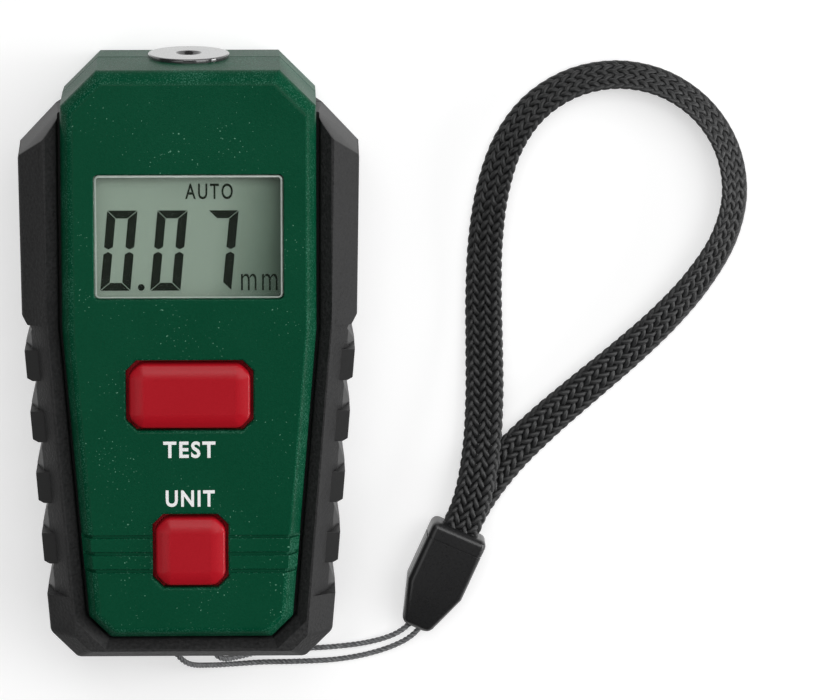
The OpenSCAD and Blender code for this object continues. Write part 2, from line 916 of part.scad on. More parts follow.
// Fasteners
module case_screws() {
    color("#8d9196")
    for (p = case_screw_at) {
        difference() {
            post(p, case_head_d, case_head_z, case_head_z + case_head_h);
            post(p, 1, case_head_z - 1, case_head_z + 0.8);
        }
        post(p, case_screw_d, case_head_z + case_head_h - eps, case_head_z + case_screw_len);
    }
}

module board_screws() {
    color("#8d9196")
    for (p = board_screw_at) {
        post(p, board_head_d, board_bottom - board_head_h, board_bottom);
        post(p, board_screw_d, board_bottom - eps, board_bottom + board_screw_len);
    }
}

// Strap
module strap_cord() {
    color("#6e7072")
        tube(cord_route, level(cord_route), round_section(cord_d, 8));
}

module strap_clip() {
    nose = 1.5;
    corner = 1.4;
    color("#161718")
    translate([clip_nose[0], clip_nose[1], clip_t / 2])
        rotate([0, 0, clip_turn])
            hull() {
                for (y = [-1, 1])
                    translate([nose, y * 1.2, 0])
                        sphere(r = nose, $fn = 24);
                for (x = [clip_len * 0.42, clip_len - corner], y = [-1, 1], z = [-1, 1])
                    translate([x, y * (clip_w / 2 - corner), z * (clip_t / 2 - corner)])
                        sphere(r = corner, $fn = 24);
            }
}

module strap_braid() {
    section = cut_rectangle(braid_w, braid_t, braid_t / 4);
    color("#1d1e1f")
        tube(braid_path, braid_leans, section);
}

front_shell();
rear_shell();
front_grip();
rear_grip();
display_window();
window_seal();
lcd_panel();
lcd_frame();
zebra_strips();
circuit_board();
processor_chip();
board_components();
test_switch();
unit_switch();
test_switch_plunger();
unit_switch_plunger();
test_button();
unit_button();
probe_housing();
probe_core();
probe_coil();
probe_leads();
battery_left();
battery_right();
battery_contact_plus();
battery_contact_minus();
battery_bridge();
battery_door();
case_screws();
board_screws();
strap_cord();
strap_clip();
strap_braid();
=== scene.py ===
import math

import bmesh
import bpy
from mathutils import Matrix, Vector


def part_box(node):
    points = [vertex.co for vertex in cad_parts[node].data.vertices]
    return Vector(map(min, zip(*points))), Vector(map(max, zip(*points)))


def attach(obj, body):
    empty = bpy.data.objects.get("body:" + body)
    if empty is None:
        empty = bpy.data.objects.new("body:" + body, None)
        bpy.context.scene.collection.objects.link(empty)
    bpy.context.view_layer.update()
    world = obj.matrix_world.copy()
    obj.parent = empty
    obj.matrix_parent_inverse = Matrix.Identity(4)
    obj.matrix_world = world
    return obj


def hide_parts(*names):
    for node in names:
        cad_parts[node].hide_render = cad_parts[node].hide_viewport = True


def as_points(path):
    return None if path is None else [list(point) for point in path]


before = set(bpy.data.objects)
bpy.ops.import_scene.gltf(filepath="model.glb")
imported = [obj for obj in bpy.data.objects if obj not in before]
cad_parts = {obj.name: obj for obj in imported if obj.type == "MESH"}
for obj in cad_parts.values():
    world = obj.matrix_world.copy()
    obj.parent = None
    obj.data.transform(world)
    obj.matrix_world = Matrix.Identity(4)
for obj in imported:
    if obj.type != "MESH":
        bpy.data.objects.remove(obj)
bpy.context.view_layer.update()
MM = 0.001

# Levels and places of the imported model, in millimetres
FACE_Z = 26.6
SEAM_Z = 11.2
GROOVE_Z = 20.6
GRIP_SIDE_Z = 21.0
GRIP_TOP_Z = 24.8
Y_STRAP = -50.6
Y_CASE = -46.25
Y_TAPER = 6.4
Y_END = 49.9
WALL = 1.8
LCD_TOP = 23.4
WINDOW_Y = 22.4
WINDOW_W = 31.3
WINDOW_H = 21.0
TEST_Y = -4.37
UNIT_Y = -30.94


# Camera and view

LENS = 253.82
CAMERA_PLACE = (0.014156, 0.217323, 0.982453)
CAMERA_RIGHT = Vector((0.99970, 0.00575, 0.02380))
CAMERA_UP = Vector((-0.00041, 0.97583, -0.21851))
CAMERA_BACK = Vector((-0.02448, 0.21844, 0.97554))
CAMERA_ROLL = math.radians(-0.22)


def front_camera():
    data = bpy.data.cameras.new("front_camera")
    data.sensor_fit = "HORIZONTAL"
    data.sensor_width = 36.0
    data.lens = LENS
    camera = bpy.data.objects.new("front_camera", data)
    bpy.context.scene.collection.objects.link(camera)
    c, s = math.cos(CAMERA_ROLL), math.sin(CAMERA_ROLL)
    right = c * CAMERA_RIGHT + s * CAMERA_UP
    up = c * CAMERA_UP - s * CAMERA_RIGHT
    camera.location = CAMERA_PLACE
    camera.rotation_euler = Matrix((right, up, CAMERA_BACK)).transposed().to_euler()
    bpy.context.scene.camera = camera


front_camera()
bpy.context.scene.view_settings.view_transform = "Standard"


# Hand tools for modelling

def rest():
    if bpy.context.object and bpy.context.object.mode != "OBJECT":
        bpy.ops.object.mode_set(mode="OBJECT")
    bpy.ops.object.select_all(action="DESELECT")


def take(piece):
    rest()
    piece.select_set(True)
    bpy.context.view_layer.objects.active = piece


def edit(piece):
    take(piece)
    bpy.ops.object.mode_set(mode="EDIT")
    bpy.ops.mesh.select_all(action="DESELECT")


def pick_faces(piece, test):
    """Selects the faces whose centre, in millimetres, and normal pass the test."""
    work = bmesh.from_edit_mesh(piece.data)
    bpy.context.tool_settings.mesh_select_mode = (False, False, True)
    for face in work.faces:
        face.select_set(test(face.calc_center_median() / MM, face.normal))
    work.select_flush_mode()
    bmesh.update_edit_mesh(piece.data)


def pick_edges(piece, test):
    work = bmesh.from_edit_mesh(piece.data)
    bpy.context.tool_settings.mesh_select_mode = (False, True, False)
    for edge in work.edges:
        edge.select_set(False)
    for edge in work.edges:
        if test(edge):
            edge.select_set(True)
    bmesh.update_edit_mesh(piece.data)


WELD_GAP = 0.001 * MM
COPY_GAP = 0.002 * MM
COPY_ANGLE = math.radians(0.6)
FLAT_ANGLE = math.radians(9)


def copy_of(node, name, merge=True):
    """A node's solid as a clean mesh. With merge, each flat area becomes one face."""
    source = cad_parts[node]
    piece = bpy.data.objects.new(name, source.data.copy())
    bpy.context.scene.collection.objects.link(piece)
    piece.data.materials.clear()
    edit(piece)
    bpy.ops.mesh.select_all(action="SELECT")
    bpy.ops.mesh.customdata_custom_splitnormals_clear()
    bpy.ops.mesh.remove_doubles(threshold=COPY_GAP)
    if merge:
        bpy.ops.mesh.dissolve_limited(angle_limit=COPY_ANGLE, use_dissolve_boundaries=False)
    rest()
    return piece


def soften(piece, rule, width, segments):
    """Rounds edges. The rule gives each edge's share of the width, from 0 to 1."""
    take(piece)
    work = bmesh.new()
    work.from_mesh(piece.data)
    work.normal_update()
    share = work.edges.layers.float.get("bevel_weight_edge")
    if share is None:
        share = work.edges.layers.float.new("bevel_weight_edge")
    for edge in work.edges:
        edge[share] = 0.0
        if len(edge.link_faces) != 2:
            continue
        angle = edge.calc_face_angle_signed(0.0)
        if abs(angle) < FLAT_ANGLE:
            continue
        a, b = (v.co / MM for v in edge.verts)
        edge[share] = rule((a + b) / 2, (b - a), math.degrees(angle), edge)
    work.to_mesh(piece.data)
    work.free()
    round_off = piece.modifiers.new("round_off", "BEVEL")
    round_off.limit_method = "WEIGHT"
    round_off.width = width * MM
    round_off.segments = segments
    round_off.use_clamp_overlap = False
    bpy.ops.object.modifier_apply(modifier="round_off")
    smooth(piece)


def smooth(piece, angle=35):
    """Smooth shading in which the large faces stay flat beside their rounded edges."""
    take(piece)
    bpy.ops.object.shade_smooth_by_angle(angle=math.radians(angle))
    even = piece.modifiers.new("even_normals", "WEIGHTED_NORMAL")
    even.weight = 90
    even.keep_sharp = True
    bpy.ops.object.modifier_apply(modifier="even_normals")
    rest()


def on_bevel(tilt):
    """True for the upright part of a normal on a face that is neither level nor upright."""
    return 0.15 < tilt < 0.97


def paint(piece, *materials):
    piece.data.materials.clear()
    for material in materials:
        piece.data.materials.append(material)


def mounted(piece, body, slot, *nodes):
    """Puts a piece on a body and hides the nodes that it stands for. The finish slot is not used."""
    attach(piece, body)
    if nodes:
        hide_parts(*nodes)


# Strap routes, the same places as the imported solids

def ease(x):
    """A smooth step from 0 to 1."""
    u = min(max(x, 0.0), 1.0)
    return u * u * (3 - 2 * u)


CLIP_LEN = 19.0
CLIP_W = 10.0
CLIP_T = 6.5
CLIP_NOSE = Vector((38.0, Y_STRAP + 0.1))
CLIP_TURN = math.radians(66)
CLIP_AXIS = Vector((math.cos(CLIP_TURN), math.sin(CLIP_TURN)))
CORD_D = 1.0
BRAID_W = 6.4
BRAID_T = 2.0
STRAP_X = 3.2
STRAP_Z = SEAM_Z + 1.8
POST_Y = Y_CASE + WALL + 1.2

# Twist of the cord and weave of the braid
CORD_STEP = 0.28
CORD_PITCH = 2.6
PLIES = 3
PLY_OUT = 0.235
PLY_R = 0.265
BRAID_STEP = 0.42
BRAID_PITCH = 21.0
BRAID_YARNS = 12
YARN_SWAY = 0.47
YARN_HALF_W = 0.46
YARN_HALF_T = 0.40
YARN_TURN = 0.965
YARN_SIDES = 8
CURVE_STEPS = 40


def on_clip(a, b):
    return CLIP_NOSE + a * CLIP_AXIS + b * Vector((-CLIP_AXIS[1], CLIP_AXIS[0]))


def in_clip(a, b):
    p = on_clip(a, b)
    return (p[0], p[1], CLIP_T / 2)


def cord_route():
    low = CORD_D / 2
    out = [
        (-0.8, POST_Y + 1.6, STRAP_Z), (-2, POST_Y + 0.6, STRAP_Z), (-STRAP_X, Y_CASE + WALL, STRAP_Z),
        (-STRAP_X, Y_STRAP, STRAP_Z), (-2.6, Y_STRAP - 2.2, STRAP_Z - 1), (-0.6, Y_STRAP - 4.4, 10),
        (3, Y_STRAP - 6, 5.2), (7, Y_STRAP - 6.7, 2), (12, Y_STRAP - 6.8, low),
        (18, Y_STRAP - 6.7, low), (25, Y_STRAP - 6.3, low), (31, Y_STRAP - 5, 0.9),
        (35.6, Y_STRAP - 3, 1.8), (38.2, Y_STRAP - 0.8, 2.8),
    ]
    turn = [in_clip(2, -0.8), in_clip(6, -1.8)]
    for step in range(5):
        a = math.radians(-90 + 45 * step)
        turn.append(in_clip(10 + 2.4 * math.cos(a), 2.4 * math.sin(a)))
    turn += [in_clip(6, 1.8), in_clip(2, 0.8)]
    back = [
        (36.4, Y_STRAP, 2.8), (33.8, Y_STRAP - 1.8, 2), (29.4, Y_STRAP - 3.3, 1),
        (24, Y_STRAP - 4.1, low), (19, Y_STRAP - 4.4, low), (15, Y_STRAP - 4.4, 1.2),
        (11, Y_STRAP - 4.3, 3.4), (7.4, Y_STRAP - 4.1, 7), (5, Y_STRAP - 3.2, 11),
        (3.6, Y_STRAP - 1.8, STRAP_Z - 0.9), (STRAP_X, Y_STRAP, STRAP_Z),
        (STRAP_X, Y_CASE + WALL, STRAP_Z), (2, POST_Y + 0.6, STRAP_Z), (0.8, POST_Y + 1.6, STRAP_Z),
    ]
    return [Vector(p) for p in out + turn + back]


def braid_route():
    """Places and leans of the flat braid round its drop shaped loop."""
    loop_r, straight, rings, inside, lean = 20.0, 64.0, 8, 2.6, 56.0
    first_up, second_up = 1.25, 1.25 + BRAID_T + 0.1
    rows = []
    spots = [-inside + (straight + inside) * i / rings for i in range(rings + 1)]
    for s in spots:
        rows.append((s, -loop_r * ease(s / straight), first_up * (1 - ease(s / 16))))
    for step in range(7):
        a = math.radians(-67.5 + 22.5 * step)
        rows.append((straight + loop_r * math.cos(a), loop_r * math.sin(a), 0.0))
    for s in reversed(spots):
        rows.append((s, loop_r * ease(s / straight), second_up * (1 - ease(s / 40))))
    places, leans = [], []
    for i, (s, b, up) in enumerate(rows):
        turn = math.radians(lean * math.sin(math.pi * i / (len(rows) - 1)) ** 2)
        p = on_clip(CLIP_LEN + s, b)
        high = BRAID_W / 2 * math.sin(turn) + BRAID_T / 2 * math.cos(turn)
        places.append(Vector((p[0], p[1], up + high)))
        leans.append(turn)
    return places, leans


def smooth_route(places, step, extra=None):
    """Evenly spaced places on a smooth curve through the given ones, with an extra value carried along."""
    extra = extra or [0.0] * len(places)
    rows = [Vector((p[0], p[1], p[2], e)) for p, e in zip(places, extra)]
    gaps = [(places[i + 1] - places[i]).length for i in range(len(places) - 1)]
    last = len(rows) - 1
    slopes = []
    for i in range(len(rows)):
        lo, hi = max(i - 1, 0), min(i + 1, last)
        slopes.append((rows[hi] - rows[lo]) / sum(gaps[lo:hi]))
    fine = []
    for i in range(last):
        for k in range(CURVE_STEPS):
            u = k / CURVE_STEPS
            h = gaps[i]
            fine.append(rows[i] * (2 * u**3 - 3 * u**2 + 1) + slopes[i] * h * (u**3 - 2 * u**2 + u)
                        + rows[i + 1] * (3 * u**2 - 2 * u**3) + slopes[i + 1] * h * (u**3 - u**2))
    fine.append(rows[-1])
    along = [0.0]
    for a, b in zip(fine, fine[1:]):
        along.append(along[-1] + (b - a).to_3d().length)
    count = max(2, round(along[-1] / step))
    out, at = [], 0
    for n in range(count + 1):
        s = along[-1] * n / count
        while at < len(along) - 2 and along[at + 1] < s:
            at += 1
        part = (s - along[at]) / max(along[at + 1] - along[at], 1e-9)
        out.append(fine[at].lerp(fine[at + 1], part))
    return [p.to_3d() for p in out], [p[3] for p in out], along[-1]


def frames_on(places, leans):
    """Width and thickness directions of a flat section at each place."""
    out = []
    for i in range(len(places)):
        t = (places[min(i + 1, len(places) - 1)] - places[max(i - 1, 0)]).normalized()
        side = Vector((0, 0, 1)).cross(t).normalized()
        up = t.cross(side)
        c, s = math.cos(leans[i]), math.sin(leans[i])
        out.append((t, c * side + s * up, c * up - s * side))
    return out


def strands(name, runs, half_w, half_t, sides):
    """One mesh of closed yarns. A run is a list of (place, tangent, flat direction) in millimetres."""
    points, faces, uvs = [], [], []
    for run in runs:
        start = len(points)
        length = 0.0
        lengths = []
        for i, (place, tangent, flat) in enumerate(run):
            if i:
                length += (place - run[i - 1][0]).length
            lengths.append(length)
            rise = tangent.cross(flat).normalized()
            flat = rise.cross(tangent).normalized()
            for j in range(sides):
                a = 2 * math.pi * j / sides
                points.append((place + half_w * math.cos(a) * flat + half_t * math.sin(a) * rise) * MM)
        for i in range(len(run) - 1):
            for j in range(sides):
                k = (j + 1) % sides
                a, b = start + i * sides, start + (i + 1) * sides
                faces.append((a + j, a + k, b + k, b + j))
                u0, u1 = j / sides, (j + 1) / sides
                uvs.append(((u0, lengths[i]), (u1, lengths[i]), (u1, lengths[i + 1]), (u0, lengths[i + 1])))
        end = start + (len(run) - 1) * sides
        faces.append(tuple(start + j for j in reversed(range(sides))))
        uvs.append(tuple((j / sides, 0.0) for j in reversed(range(sides))))
        faces.append(tuple(end + j for j in range(sides)))
        uvs.append(tuple((j / sides, length) for j in range(sides)))
    mesh = bpy.data.meshes.new(name)
    mesh.from_pydata(points, [], faces)
    layer = mesh.uv_layers.new(name="yarn")
    flat_uvs = [uv for face in uvs for uv in face]
    for loop, uv in zip(layer.data, flat_uvs):
        loop.uv = uv
    mesh.polygons.foreach_set("use_smooth", [True] * len(mesh.polygons))
    piece = bpy.data.objects.new(name, mesh)
    bpy.context.scene.collection.objects.link(piece)
    return piece


def twisted_cord():
    """Plies twisted round the route of the thin cord, with the path and length of the route."""
    places, _, length = smooth_route(cord_route(), CORD_STEP)
    frames = frames_on(places, [0.0] * len(places))
    runs = []
    for k in range(PLIES):
        run = []
        for i, place in enumerate(places):
            t, side, up = frames[i]
            a = 2 * math.pi * (i * length / (len(places) - 1) / CORD_PITCH + k / PLIES)
            out = math.cos(a) * side + math.sin(a) * up
            run.append((place + PLY_OUT * out, t, out))
        for i in range(len(run)):
            ahead, behind = run[min(i + 1, len(run) - 1)][0], run[max(i - 1, 0)][0]
            run[i] = (run[i][0], (ahead - behind).normalized(), run[i][2])
        runs.append(run)
    cord = strands("strap_cord_twist", runs, PLY_R, PLY_R, YARN_SIDES)
    return cord, [p * MM for p in places[::4]] + [places[-1] * MM], length * MM


def woven_braid():
    """Yarns plaited over and under along the flat braid, with the path and length of the route."""
    route, turns = braid_route()
    places, leans, length = smooth_route(route, BRAID_STEP, turns)
    frames = frames_on(places, leans)
    reach = BRAID_W / 2 - 0.36
    runs = []
    for k in range(BRAID_YARNS):
        centre = []
        for i, place in enumerate(places):
            s = i * length / (len(places) - 1)
            a = (s / BRAID_PITCH + k / BRAID_YARNS) % 1.0
            swing = math.asin(YARN_TURN * math.sin(2 * math.pi * a - math.pi / 2)) / math.asin(YARN_TURN)
            if a < 0.5:
                lift = math.cos(math.pi * BRAID_YARNS * a + math.pi / 4)
                edge = min(a, 0.5 - a)
            else:
                lift = -math.cos(math.pi * BRAID_YARNS * (1 - a) + math.pi / 4)
                edge = min(a - 0.5, 1 - a)
            lift *= YARN_SWAY * ease(edge * BRAID_YARNS * 0.9)
            _, wide, thick = frames[i]
            centre.append(place + reach * swing * wide + lift * thick)
        run = []
        for i, place in enumerate(centre):
            tangent = (centre[min(i + 1, len(centre) - 1)] - centre[max(i - 1, 0)]).normalized()
            flat = frames[i][2].cross(tangent).normalized()
            run.append((place, tangent, flat))
        runs.append(run)
    braid = strands("strap_braid_weave", runs, YARN_HALF_W, YARN_HALF_T, YARN_SIDES)
    return braid, [p * MM for p in places[::6]] + [places[-1] * MM], length * MM


strap_cord, cord_path, cord_length = twisted_cord()
strap_braid, braid_path, braid_length = woven_braid()


# Finishes

def grain_group():
    """Fine moulded grain: a height for bumps and a tone for colour and gloss."""
    group = bpy.data.node_groups.new("moulded_grain", "ShaderNodeTree")
    face = group.interface
    face.new_socket("Place", in_out="INPUT", socket_type="NodeSocketVector")
    for name in ("Grain", "Cloud", "Mix"):
        face.new_socket(name, in_out="INPUT", socket_type="NodeSocketFloat")
    face.new_socket("Height", in_out="OUTPUT", socket_type="NodeSocketFloat")
    face.new_socket("Tone", in_out="OUTPUT", socket_type="NodeSocketFloat")
    add, tie = group.nodes.new, group.links.new
    inp, out = add("NodeGroupInput"), add("NodeGroupOutput")
    fine, cells, cloud = add("ShaderNodeTexNoise"), add("ShaderNodeTexVoronoi"), add("ShaderNodeTexNoise")
    fine.inputs["Detail"].default_value = 3.0
    fine.inputs["Roughness"].default_value = 0.62
    cells.feature = "SMOOTH_F1"
    cells.inputs["Smoothness"].default_value = 0.4
    cloud.inputs["Detail"].default_value = 2.0
    for node, scale in ((fine, "Grain"), (cells, "Grain"), (cloud, "Cloud")):
        tie(inp.outputs["Place"], node.inputs["Vector"])
        tie(inp.outputs[scale], node.inputs["Scale"])
    height = add("ShaderNodeMix")
    height.inputs["Factor"].default_value = 0.45
    tie(fine.outputs["Fac"], height.inputs["A"])
    tie(cells.outputs["Distance"], height.inputs["B"])
    tone = add("ShaderNodeMix")
    tie(inp.outputs["Mix"], tone.inputs["Factor"])
    tie(fine.outputs["Fac"], tone.inputs["A"])
    tie(cloud.outputs["Fac"], tone.inputs["B"])
    tie(height.outputs["Result"], out.inputs["Height"])
    tie(tone.outputs["Result"], out.inputs["Tone"])
    return group


GRAIN = grain_group()
CLOUD = 60.0
CLOUD_SHARE = 0.35
TONE_LOW = 0.34
TONE_HIGH = 0.66


class Finish:
    """A material under construction: its nodes, its links and its surface shader."""

    def __init__(self, name, roughness, metallic=0.0, **sockets):
        self.material = bpy.data.materials.new(name)
        self.material.use_nodes = True
        self.tree = self.material.node_tree
        self.shader = self.tree.nodes["Principled BSDF"]
        self.shader.inputs["Roughness"].default_value = roughness
        self.shader.inputs["Metallic"].default_value = metallic
        for socket, value in sockets.items():
            self.shader.inputs[socket.replace("_", " ")].default_value = value
        self.place = self.add("ShaderNodeTexCoord").outputs["Object"]

    def add(self, kind, **settings):
        node = self.tree.nodes.new(kind)
        for key, value in settings.items():
            setattr(node, key, value)
        return node

    def tie(self, a, b):
        self.tree.links.new(a, b)

    def grain(self, scale, cloud=CLOUD, mix=CLOUD_SHARE):
        node = self.add("ShaderNodeGroup", node_tree=GRAIN)
        self.tie(self.place, node.inputs["Place"])
        node.inputs["Grain"].default_value = scale
        node.inputs["Cloud"].default_value = cloud
        node.inputs["Mix"].default_value = mix
        return node

    def ramp(self, source, *stops):
        """Colours along a value, from (position, colour) stops."""
        node = self.add("ShaderNodeValToRGB")
        band = node.color_ramp
        while len(band.elements) < len(stops):
            band.elements.new(0.5)
        for element, (at, colour) in zip(band.elements, stops):
            element.position = at
            element.color = (*colour, 1.0)
        self.tie(source, node.inputs["Fac"])
        return node.outputs["Color"]

    def toned(self, surface, dark, pale):
        """The drift of the grain from a dark to a pale colour."""
        return self.ramp(surface.outputs["Tone"], (TONE_LOW, dark), (TONE_HIGH, pale))

    def span(self, source, low, high, a=0.3, b=0.7):
        """A value between a and b, taken to low and high."""
        node = self.add("ShaderNodeMapRange")
        for name, value in (("From Min", a), ("From Max", b), ("To Min", low), ("To Max", high)):
            node.inputs[name].default_value = value
        self.tie(source, node.inputs["Value"])
        return node.outputs["Result"]

    def colour(self, source):
        self.tie(source, self.shader.inputs["Base Color"])

    def rough(self, source):
        self.tie(source, self.shader.inputs["Roughness"])

    def bump(self, height, depth, strength):
        """Relief of the given depth, in millimetres."""
        node = self.add("ShaderNodeBump")
        node.inputs["Strength"].default_value = strength
        node.inputs["Distance"].default_value = depth * MM
        self.tie(height, node.inputs["Height"])
        self.tie(node.outputs["Normal"], self.shader.inputs["Normal"])


def moulded(name, dark, pale, rough, grain, depth, mix=CLOUD_SHARE, **sockets):
    """Moulded plastic or rubber with grain, a little colour drift and uneven gloss."""
    finish = Finish(name, rough[0], **sockets)
    surface = finish.grain(grain, mix=mix)
    finish.colour(finish.toned(surface, dark, pale))
    finish.rough(finish.span(surface.outputs["Tone"], *rough))
    finish.bump(surface.outputs["Height"], depth, 0.8)
    return finish.material


def sparkling(name, dark, pale, glint_colour, size, points_from, gloss):
    """Spark textured plastic: fine grain, with sparse pale points painted into its colour as glints where a
    grain would catch the light.
    """
    finish = Finish(name, 0.4, Specular_IOR_Level=gloss)
    surface = finish.grain(3400.0)
    points = finish.add("ShaderNodeTexNoise")
    points.inputs["Scale"].default_value = size
    points.inputs["Detail"].default_value = 1.0
    fields = finish.add("ShaderNodeTexNoise")
    fields.inputs["Scale"].default_value = 130.0
    for node in (points, fields):
        finish.tie(finish.place, node.inputs["Vector"])
    both = finish.add("ShaderNodeMath", operation="MULTIPLY_ADD")
    both.inputs[1].default_value = 0.35
    finish.tie(fields.outputs["Fac"], both.inputs[0])
    finish.tie(points.outputs["Fac"], both.inputs[2])
    # Painted highlight: the glint mask mixes a pale colour into the base colour.
    glint = finish.span(both.outputs["Value"], 0.0, 1.0, points_from, 1.0)
    plain = finish.toned(surface, dark, pale)
    tint = finish.add("ShaderNodeMix", data_type="RGBA")
    tint.inputs["B"].default_value = (*glint_colour, 1.0)
    finish.tie(glint, tint.inputs["Factor"])
    finish.tie(plain, tint.inputs["A"])
    finish.colour(tint.outputs["Result"])
    finish.rough(finish.span(surface.outputs["Tone"], 0.30, 0.44))
    finish.bump(surface.outputs["Height"], 0.045, 0.8)
    return finish.material


def metal(name, dark, pale, rough, stretch, scale=900.0):
    """Plated or ground metal with fine drawn lines."""
    finish = Finish(name, rough[0], 1.0)
    turn = finish.add("ShaderNodeMapping")
    turn.inputs["Scale"].default_value = stretch
    finish.tie(finish.place, turn.inputs["Vector"])
    lines = finish.add("ShaderNodeTexNoise")
    lines.inputs["Scale"].default_value = scale
    lines.inputs["Detail"].default_value = 4.0
    finish.tie(turn.outputs["Vector"], lines.inputs["Vector"])
    finish.colour(finish.ramp(lines.outputs["Fac"], (0.3, dark), (0.7, pale)))
    finish.rough(finish.span(lines.outputs["Fac"], *rough))
    finish.bump(lines.outputs["Fac"], 0.01, 0.5)
    return finish.material


def clear_plastic():
    """Polished window: clear to shadows, so that what lies under it is lit."""
    finish = Finish("clear_window", 0.04, IOR=1.49, Transmission_Weight=1.0)
    finish.shader.inputs["Base Color"].default_value = (0.93, 0.96, 0.93, 1.0)
    haze = finish.grain(900.0, 120.0, 0.7)
    finish.rough(finish.span(haze.outputs["Tone"], 0.02, 0.07))
    path = finish.add("ShaderNodeLightPath")
    through = finish.add("ShaderNodeBsdfTransparent")
    both = finish.add("ShaderNodeMixShader")
    out = finish.tree.nodes["Material Output"]
    finish.tie(path.outputs["Is Shadow Ray"], both.inputs["Fac"])
    finish.tie(finish.shader.outputs["BSDF"], both.inputs[1])
    finish.tie(through.outputs["BSDF"], both.inputs[2])
    finish.tie(both.outputs["Shader"], out.inputs["Surface"])
    return finish.material


def display_glass():
    """Grey-green reflective display with faint drift, and painted shade that darkens it towards its right
    side and a little towards its lower edge.
    """
    finish = Finish("display_glass", 0.35, Specular_IOR_Level=0.1)
    lay = finish.add("ShaderNodeMapping")
    lay.inputs["Location"].default_value = (0.0, -WINDOW_Y * MM, 0.0)
    finish.tie(finish.place, lay.inputs["Vector"])
    axes = finish.add("ShaderNodeSeparateXYZ")
    finish.tie(lay.outputs["Vector"], axes.inputs["Vector"])
    # Painted shade: lit and shaded colours spread across the display by place, darker to the right and
    # below.
    slope = finish.add("ShaderNodeMath", operation="MULTIPLY_ADD")
    slope.inputs[1].default_value = -0.2
    finish.tie(axes.outputs["Y"], slope.inputs[0])
    finish.tie(axes.outputs["X"], slope.inputs[2])
    painted_shade_fall = finish.span(slope.outputs["Value"], 1.0, 0.0, 0.004, 0.0155)
    fine = finish.grain(700.0, 160.0, 0.6)
    drift = finish.add("ShaderNodeMath", operation="MULTIPLY_ADD")
    drift.inputs[1].default_value = 0.12
    finish.tie(fine.outputs["Tone"], drift.inputs[0])
    finish.tie(painted_shade_fall, drift.inputs[2])
    shaded, lit = (0.060, 0.090, 0.069), (0.182, 0.224, 0.189)
    finish.colour(finish.ramp(drift.outputs["Value"], (0.1, shaded), (1.0, lit)))
    finish.rough(finish.span(fine.outputs["Tone"], 0.3, 0.42))
    return finish.material


def yarn(name, dark, pale, rough, streaks, depth):
    """Yarn with filaments running along it, from the piece's own UV map."""
    finish = Finish(name, rough)
    lay = finish.add("ShaderNodeUVMap", uv_map="yarn")
    turn = finish.add("ShaderNodeMapping")
    turn.inputs["Scale"].default_value = (streaks, 1.3, 1.0)
    finish.tie(lay.outputs["UV"], turn.inputs["Vector"])
    lines = finish.add("ShaderNodeTexNoise")
    lines.inputs["Scale"].default_value = 1.0
    lines.inputs["Detail"].default_value = 3.0
    lines.inputs["Distortion"].default_value = 0.6
    finish.tie(turn.outputs["Vector"], lines.inputs["Vector"])
    finish.colour(finish.ramp(lines.outputs["Fac"], (0.36, dark), (0.68, pale)))
    finish.rough(finish.span(lines.outputs["Fac"], rough - 0.08, rough + 0.1))
    finish.bump(lines.outputs["Fac"], depth, 0.9)
    return finish.material


def turned_plastic():
    """Dark probe plastic with faint turning rings round the probe's axis."""
    finish = Finish("probe_plastic", 0.2, Coat_Weight=1.0, Coat_Roughness=0.08, Coat_IOR=1.6)
    lay = finish.add("ShaderNodeMapping")
    lay.inputs["Location"].default_value = (0.0, 0.0, -SEAM_Z * MM)
    finish.tie(finish.place, lay.inputs["Vector"])
    rings = finish.add("ShaderNodeTexWave", wave_type="RINGS", rings_direction="Y")
    rings.inputs["Scale"].default_value = 900.0
    rings.inputs["Distortion"].default_value = 0.4
    finish.tie(lay.outputs["Vector"], rings.inputs["Vector"])
    fine = finish.grain(3200.0, 90.0, 0.4)
    finish.colour(finish.toned(fine, (0.016, 0.016, 0.017), (0.026, 0.026, 0.027)))
    finish.rough(finish.span(fine.outputs["Tone"], 0.16, 0.26))
    finish.bump(rings.outputs["Fac"], 0.004, 0.5)
    return finish.material


def wrapped_can():
    """Plain battery wrap: dark with a brassy band near one end."""
    finish = Finish("cell_wrap", 0.28)
    axes = finish.add("ShaderNodeSeparateXYZ")
    finish.tie(finish.place, axes.inputs["Vector"])
    fine = finish.grain(500.0, 40.0, 0.5)
    shift = finish.add("ShaderNodeMath", operation="MULTIPLY_ADD")
    shift.inputs[1].default_value = 0.0004
    finish.tie(fine.outputs["Tone"], shift.inputs[0])
    finish.tie(axes.outputs["Y"], shift.inputs[2])
    along = finish.span(shift.outputs["Value"], 0.0, 1.0, -0.036, 0.012)
    finish.colour(finish.ramp(along, (0.60, (0.016, 0.016, 0.018)), (0.62, (0.40, 0.25, 0.06))))
    finish.rough(finish.span(fine.outputs["Tone"], 0.22, 0.36))
    return finish.material


CASE_GREEN = (0.0001, 0.0490, 0.0212), (0.0005, 0.0610, 0.0272)
case_green = sparkling("case_green", *CASE_GREEN, glint_colour=(0.11, 0.28, 0.19), size=2300.0,
                       points_from=0.915, gloss=0.11)
# The same green with denser painted glints, for the bevels and the end walls.
edge_green_glints = sparkling("edge_green_glints", *CASE_GREEN, glint_colour=(0.045, 0.170, 0.110), size=4600.0,
                       points_from=0.69, gloss=0.045)
grip_grain = moulded("grip_grain", (0.0140, 0.0140, 0.0143), (0.0310, 0.0310, 0.0315), rough=(0.50, 0.70),
                     grain=1900.0, depth=0.16, mix=0.2, Specular_IOR_Level=0.2)
